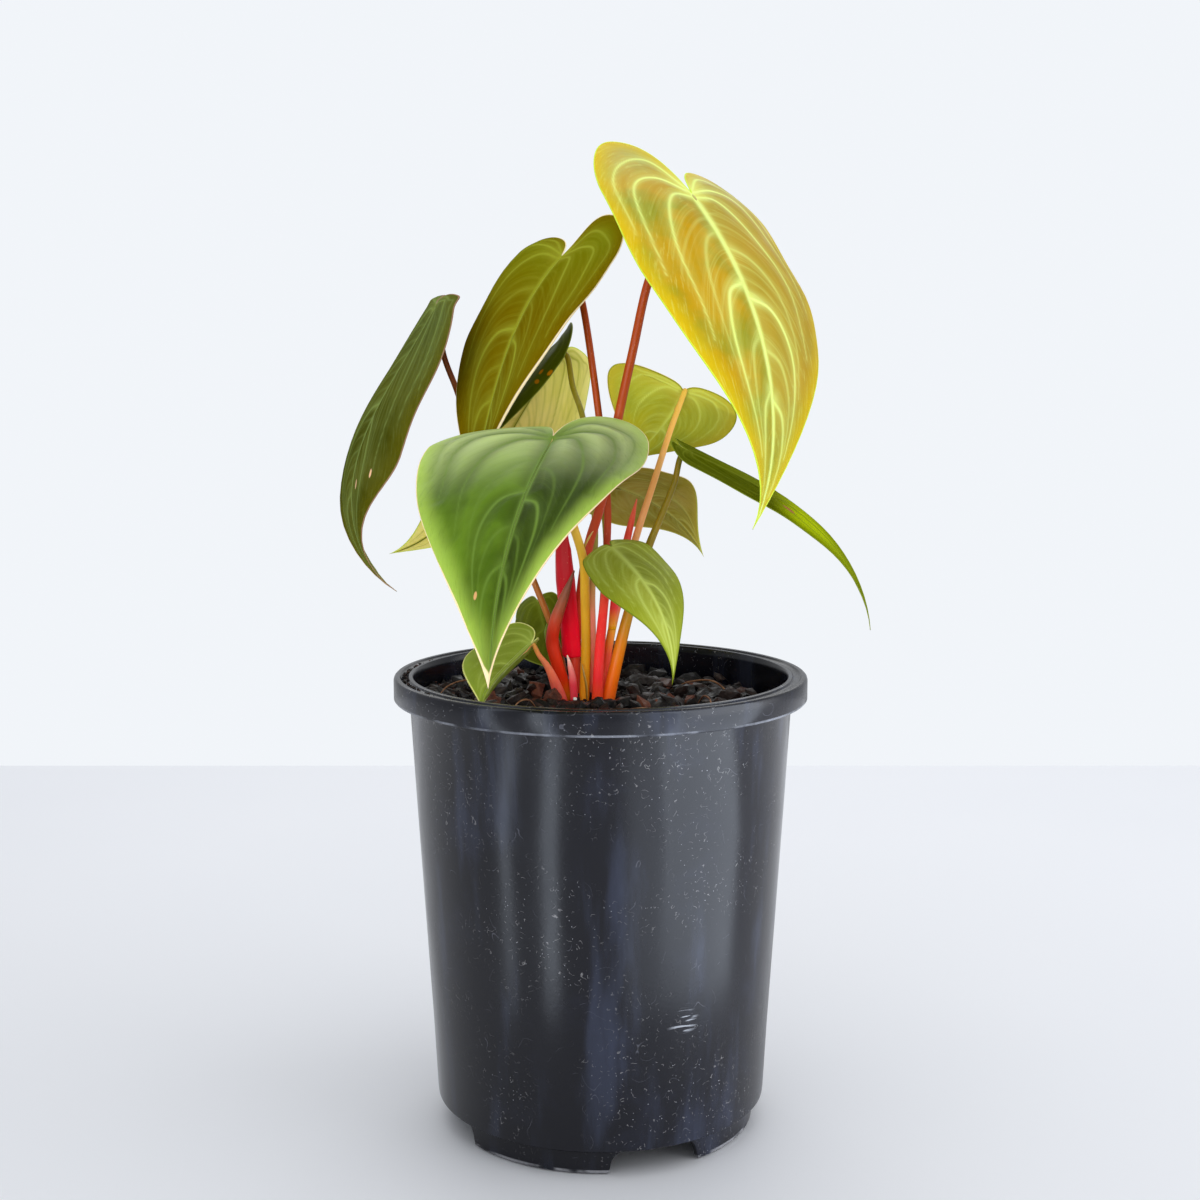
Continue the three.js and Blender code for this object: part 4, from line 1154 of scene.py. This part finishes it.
right_lower = {
    "attach": (-0.4, 33, 218), "heading": 127, "turn": 2, "droop": (16, 29, 61), "roll": (21, 42),
    "length": 60, "half": (21.5, 19.5), "lobe": (8, 9), "widest": 0.26, "tail": 0.32,
    "fold": (-3, -3), "curl": (18, 23), "lift": (0, 0), "rib": 0.9,
    "stalk": {
        "base": (-1.5, 12.5), "radius": (1.1, 0.95),
        "route": [(0.5, 15, 161), (1.5, 19, 177), (1.9, 24.5, 196), (0.8, 30.5, 209)],
    },
}
tan_under = blade_skin("tan_underside", {
    "body": (134, 120, 24), "patch": (168, 146, 70), "lobe": (158, 140, 58), "tip": (148, 148, 36),
    "rim": (170, 154, 60), "edge": (186, 190, 90), "vein": (182, 178, 90),
}, gloss=0.0, roughness=0.55, streaky=0.2, faint=0.35)
grow_leaf("right_lower", right_lower, green_velvet, tan_under, olive_stalk)

# The tailed leaf reaches out to the right edge-on, narrow, with a long drip tip that is a fresher
# green than the rest and has one dry scar.
right_tailed = {
    "attach": (29.2, 4, 229.8), "heading": 101, "turn": -24, "droop": (25, 39, 85), "roll": (-21, -10),
    "length": 93, "half": (16, 13.5), "lobe": (8, 4), "widest": 0.32, "tail": 0.33,
    "fold": (2, 0), "curl": (-3, 22), "lift": (2.5, 0.5), "rib": 0.7, "scars": [(0, 3.8, 40.3, 1.1, 3)],
    "stalk": {
        "base": (2.6, -0.5), "radius": (2.6, 1), "slim": 1.5,
        "route": [
            (6.3, 0, 162), (9.3, 1, 174), (12.7, 2, 186), (16.4, 3, 197.5),
            (20.5, 4, 207.5), (24.8, 4, 218.5),
        ],
    },
}
# Painted light: the right hue paints the blade's right half lighter, for the light that falls on that half.
tail_velvet = blade_skin("tail_green_velvet", {
    "body": (60, 68, 0), "patch": (82, 88, 0), "lobe": (60, 70, 0), "tip": (174, 194, 6),
    "rim": (74, 82, 2), "right": (106, 118, 20), "edge": (120, 134, 40), "vein": (104, 114, 28),
    "scar": (150, 104, 60),
}, gloss=0.0, roughness=0.45, streaky=0.18, faint=0.3, tip=(0.34, 0.52))
tail_stalk = petiole_skin(
    "tail_petiole",
    [(0, (246, 92, 20)), (0.14, (244, 116, 10)), (0.34, (190, 134, 20)), (0.6, (150, 126, 30)),
     (1, (112, 104, 14))],
    (210, 150, 40),
)
grow_leaf("right_tailed", right_tailed, tail_velvet, green_under, tail_stalk)

# Three small leaves grow low over the mix: a heart in front at the right on a crimson petiole, one
# that dips into the pot at the left, and one behind it in shade.
low_right = {
    "attach": (3.5, -18, 199.5), "heading": 25, "turn": 13, "droop": (18, 40, 104), "roll": (-17, -1),
    "length": 61, "half": (13, 16), "lobe": (7, 8), "widest": 0.26, "tail": 0.27,
    "fold": (10, 7), "curl": (34, 29), "lift": (-2.5, -2), "rib": 0.85,
    "stalk": {
        "base": (-1.2, -3.6), "radius": (2.1, 1.1),
        "route": [(-0.2, -5, 164.5), (1.1, -8, 178.5), (2.4, -13, 190.5)],
    },
}
# Painted shade: the right hue paints the blade's right half darker, for the shade on that half.
sage_velvet = blade_skin("sage_velvet", {
    "body": (132, 140, 24), "patch": (152, 158, 56), "lobe": (142, 152, 50), "tip": (146, 164, 40),
    "rim": (146, 158, 36), "right": (96, 106, 8), "edge": (120, 136, 30), "vein": (190, 204, 104),
}, gloss=0.08, roughness=0.4, streaky=0.18, faint=0.12)
crimson_stalk = petiole_skin(
    "crimson_petiole",
    [(0, (244, 90, 24)), (0.2, (250, 50, 54)), (0.6, (244, 56, 50)), (1, (160, 90, 40))],
    (250, 100, 76),
)
grow_leaf("low_right", low_right, sage_velvet, green_under, crimson_stalk)

low_left = {
    "attach": (-22.5, -20, 167.9), "heading": -41, "turn": 25, "droop": (32, 23, 42), "roll": (36, 28),
    "length": 36, "half": (17, 9), "lobe": (7, 3.5), "widest": 0.3, "tail": 0.15,
    "fold": (14, 72), "curl": (26, 53), "lift": (-1, 2.5), "rib": 0.8,
    "stalk": {
        "base": (-13.4, -5), "radius": (3.6, 0.75), "slim": 2.2,
        "route": [(-15.6, -10, 153.5), (-17.9, -12.5, 159), (-20.3, -16, 163)],
    },
}
leaf_green = blade_skin("leaf_green_velvet", {
    "body": (98, 112, 18), "patch": (116, 132, 36), "lobe": (110, 126, 34), "tip": (118, 150, 20),
    "rim": (126, 146, 44), "edge": (214, 216, 130), "vein": (156, 172, 78),
}, gloss=0.06, roughness=0.42, streaky=0.15, faint=0.12)
wedge_stalk = petiole_skin(
    "pink_wedge_petiole",
    [(0, (246, 56, 48)), (0.35, (250, 96, 84)), (0.7, (244, 130, 84)), (1, (216, 156, 70))],
    (252, 150, 120),
)
grow_leaf("low_left", low_left, leaf_green, green_under, wedge_stalk)

low_back = {
    "attach": (-22.3, 28, 175.2), "heading": 21, "turn": 11, "droop": (53, 53, 40), "roll": (-38, -14),
    "length": 31, "half": (15, 9), "lobe": (5, 2.5), "widest": 0.29, "tail": 0.21,
    "fold": (15, 5), "curl": (35, 30), "lift": (-2.5, -0.5), "rib": 0.7,
    "stalk": {"base": (-10, 12), "radius": (0.9, 0.75), "route": [(-17, 22.5, 156.5), (-20.8, 30, 167)]},
}
grow_leaf("low_back", low_back, deep_velvet, green_under, olive_stalk)

# The sheaths are what is left of the bracts that wrapped each new leaf: thin, fleshy and crimson.
# The big one is an open boat held against the tallest petiole; the others are pointed and closed.
sheath_wall = 0.8


def boat(name, route, radii, wraps, facing):
    """Part of a tube round its route, convex towards its face, with rounded edges."""
    line = smooth_route(route, 8)
    count = len(line)
    share = np.linspace(0, 1, count)
    radii = spread(radii, count)
    wraps = np.radians(spread(wraps, count))
    across, outward = cross_directions(line, np.array(facing) / np.linalg.norm(facing))
    arc = 22
    points, faces = [], []
    for i in range(count):
        ring = [(radii[i], j) for j in range(arc + 1)]
        ring += [(radii[i] - sheath_wall, j) for j in reversed(range(arc + 1))]
        for radius, j in ring:
            turn = wraps[i] * (j / arc - 0.5)
            ripple = 1 + 0.02 * math.sin(9 * turn + 4 * share[i])
            spot = line[i] + radius * ripple * (across[i] * math.sin(turn) + outward[i] * math.cos(turn))
            points.append(pot_axis + Vector(spot) * MM)
    around = 2 * (arc + 1)
    for i in range(count - 1):
        for j in range(around):
            a, b = i * around + j, i * around + (j + 1) % around
            faces.append((a, a + around, b + around, b))
    last = (count - 1) * around
    for j in range(arc):
        inner = around - 1 - j
        faces.append((j, j + 1, inner - 1, inner))
        faces.append((last + j, last + inner, last + inner - 1, last + j + 1))
    piece = solid_piece(name, points, faces)
    mark_points(piece, "rise", np.repeat(share, around))
    return piece


crimson_skin = petiole_skin(
    "crimson_sheath",
    [(0, (252, 8, 44)), (0.35, (240, 6, 40)), (0.6, (190, 14, 30)), (1, (184, 24, 30))],
    (232, 36, 56),
)
sheath = boat(
    "crimson_boat_sheath",
    [(-9.3, 7.4, 159.5), (-9.6, 6.5, 165), (-10, 5.2, 171), (-11.2, 2.6, 186), (-11.7, 1.4, 197),
     (-11, 0.4, 204.5)],
    [3.9, 3.8, 3.8, 4, 3.5, 2],
    [200, 200, 200, 190, 170, 100],
    (-0.8, -0.6, 0),
)
sheath.data.materials.append(crimson_skin)
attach(sheath, "root")
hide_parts("sheath_crimson")

curved_skin = petiole_skin(
    "curved_sheath",
    [(0, (240, 120, 24)), (0.2, (246, 130, 26)), (0.32, (246, 60, 18)), (0.62, (220, 50, 24)),
     (0.8, (150, 84, 56)), (1, (120, 74, 60))],
    (240, 96, 64),
)
pink_skin = petiole_skin(
    "pink_sheath",
    [(0, (226, 40, 56)), (0.45, (236, 60, 76)), (0.75, (244, 140, 130)), (1, (250, 226, 206))],
    (246, 150, 150),
)
tip_skin = petiole_skin(
    "tip_sheath",
    [(0, (248, 180, 20)), (0.14, (246, 60, 60)), (0.6, (244, 80, 66)), (1, (244, 120, 90))],
    (248, 130, 110),
)
for name, node, route, radii, skin in (
    (
        "curved_pointed_sheath", "sheath_curved",
        [(-11.7, 0.5, socket_floor), (-11.7, 0.5, socket_top), (-12.8, 0, 151), (-15.1, -1.5, 159),
         (-16.4, -2, 166), (-14.9, -3.4, 173.5), (-12.2, -4.6, 181), (-8.8, -5.5, 190)],
        [2.1, 2.1, 2.1, 2.1, 2.2, 2.1, 1.6, 0.25], curved_skin,
    ),
    (
        "pink_pointed_sheath", "sheath_pink",
        [(-8.9, -5.3, socket_floor), (-8.9, -5.3, socket_top), (-9.3, -5.8, 152.5),
         (-10.2, -6.2, 157.5), (-11.2, -6.6, 161.5)],
        [1.3, 1.3, 1.3, 0.9, 0.2], pink_skin,
    ),
    (
        "slim_pointed_sheath", "sheath_tip",
        [(3.8, 8, 168), (5.4, 11.2, 181), (8.8, 16.2, 196.5), (10.9, 19.6, 205), (12.6, 21, 212)],
        [1.3, 1.5, 1.35, 1.05, 0.2], tip_skin,
    ),
):
    piece = tube(name, smooth_route(route, 10), radii)
    piece.data.materials.append(skin)
    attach(piece, "root")
    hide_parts(node)

# Dry scraps of old bracts cling to the front petiole, and a new shoot shows as a green nub.
straw_skin = petiole_skin(
    "dry_bract",
    [(0, (196, 140, 50)), (0.5, (226, 190, 90)), (1, (240, 226, 160))],
    (206, 150, 70),
)
nub_skin = petiole_skin("green_nub", [(0, (190, 200, 70)), (1, (150, 180, 60))], (200, 210, 110))
for name, route, radii, skin in (
    (
        "upper_bract_scrap",
        [(-6.2, -10.4, 196.4), (-5.2, -10.6, 199), (-3.6, -10.6, 202), (-2.4, -10.6, 203.8)],
        [0.15, 0.42, 0.3, 0.08], straw_skin,
    ),
    (
        "lower_bract_scrap",
        [(-4.6, -6.4, 146), (-4.8, -6.6, 151), (-5.6, -6.6, 155), (-6.3, -6.2, 158.5)],
        [0.3, 0.42, 0.3, 0.08], straw_skin,
    ),
    (
        "green_nub",
        [(-16.6, -0.6, 161), (-17.6, -1.4, 165), (-18.2, -1.6, 168.5), (-18, -1.2, 171.4)],
        [0.7, 1, 0.85, 0.3], nub_skin,
    ),
):
    piece = tube(name, smooth_route(route, 8), radii, sides=12)
    piece.data.materials.append(skin)
    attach(piece, "root")

# The plant stands on a plain white table in a bright room, lit by a large soft window at the
# right, one behind and a wide panel overhead. A fill in front lights only the leaves, stalks, sheaths
# and mix, and four low panels light only the pot and give it its upright bands.
table_side = 1.2
table_back = 0.54
table_top = -0.0005
room_light = 0.55
room_seen = 0.95
panel_middle = 0.15
panel_height = 0.3
table = solid_piece(
    "table",
    [
        (-table_side, -table_side, table_top), (table_side, -table_side, table_top),
        (table_side, table_back, table_top), (-table_side, table_back, table_top),
    ],
    [(0, 1, 2, 3)],
)
paper = Finish("white_table")
paper.give(Base_Color=paper.mix(paper.grain(3, 2), shade(236, 238, 243), shade(243, 244, 248)))
paper.set(Roughness=0.6)
table.data.materials.append(paper.material)

# The room looks brighter to the camera than it shines on the plant, so that the wall stays white.
world = bpy.data.worlds.new("bright_room")
world.use_nodes = True
room = world.node_tree.nodes["Background"]
room.inputs["Color"].default_value = (0.93, 0.96, 1.0, 1)
seen = world.node_tree.nodes.new("ShaderNodeLightPath")
glow = world.node_tree.nodes.new("ShaderNodeMapRange")
glow.inputs["To Min"].default_value = room_light
glow.inputs["To Max"].default_value = room_seen
world.node_tree.links.new(seen.outputs["Is Camera Ray"], glow.inputs["Value"])
world.node_tree.links.new(glow.outputs["Result"], room.inputs["Strength"])
bpy.context.scene.world = world


def soft_light(name, azimuth, height, distance, size, power):
    """A panel facing the plant, azimuth round from the front towards the right."""
    lamp = bpy.data.lights.new(name, "AREA")
    lamp.shape = "RECTANGLE"
    lamp.size, lamp.size_y = size
    lamp.energy = power
    holder = bpy.data.objects.new(name, lamp)
    turn = math.radians(azimuth)
    holder.location = (distance * math.sin(turn), -distance * math.cos(turn), height)
    aim = Vector((0, 0, min(height, 0.18))) - holder.location
    holder.rotation_euler = aim.to_track_quat("-Z", "Y").to_euler()
    holder.visible_camera = False
    bpy.context.scene.collection.objects.link(holder)
    return holder


soft_light("window", 78, 0.4, 1.3, (1.5, 1.2), 8)
soft_light("overhead", 10, 2.2, 0.3, (3.5, 3.5), 20)
soft_light("back_window", 180, 0.95, 1.1, (1.4, 0.8), 4)
growth = bpy.data.collections.new("growth")
for piece in bpy.context.scene.objects:
    if piece.name.startswith(("leaf_", "stalk_", "potting_")) or "sheath" in piece.name:
        growth.objects.link(piece)
soft_light("front_fill", -20, 0.3, 1.2, (1.2, 0.7), 15).light_linking.receiver_collection = growth
only_pot = bpy.data.collections.new("only_pot")
only_pot.objects.link(pot)
for name, azimuth, distance, width, power in (
    ("left_strip", -54, 0.16, 0.02, 0.05),
    ("near_left_strip", -28, 0.16, 0.024, 0.1),
    ("middle_panel", 26, 0.16, 0.068, 0.11),
    ("right_panel", 60, 0.16, 0.14, 0.46),
):
    panel = soft_light(name, azimuth, panel_middle, distance, (width, panel_height), power)
    panel.data.color = (0.78, 0.87, 1.0)
    panel.light_linking.receiver_collection = only_pot

# The camera stands in front of the pot, about 58 cm from its axis, and looks a little down on it,
# as the ellipse of the rim and the curve of the foot in the photograph show.
camera = bpy.data.objects.new("camera", bpy.data.cameras.new("camera"))
camera.data.sensor_width = 36
camera.data.lens = 52.05
camera.data.shift_x = -0.0005
camera.location = pot_axis + Vector((0, -582, 257.5)) * MM
camera.rotation_euler = (math.radians(90 - 7.65), 0, 0)
bpy.context.scene.collection.objects.link(camera)
bpy.context.scene.camera = camera
bpy.context.scene.view_settings.view_transform = "Standard"
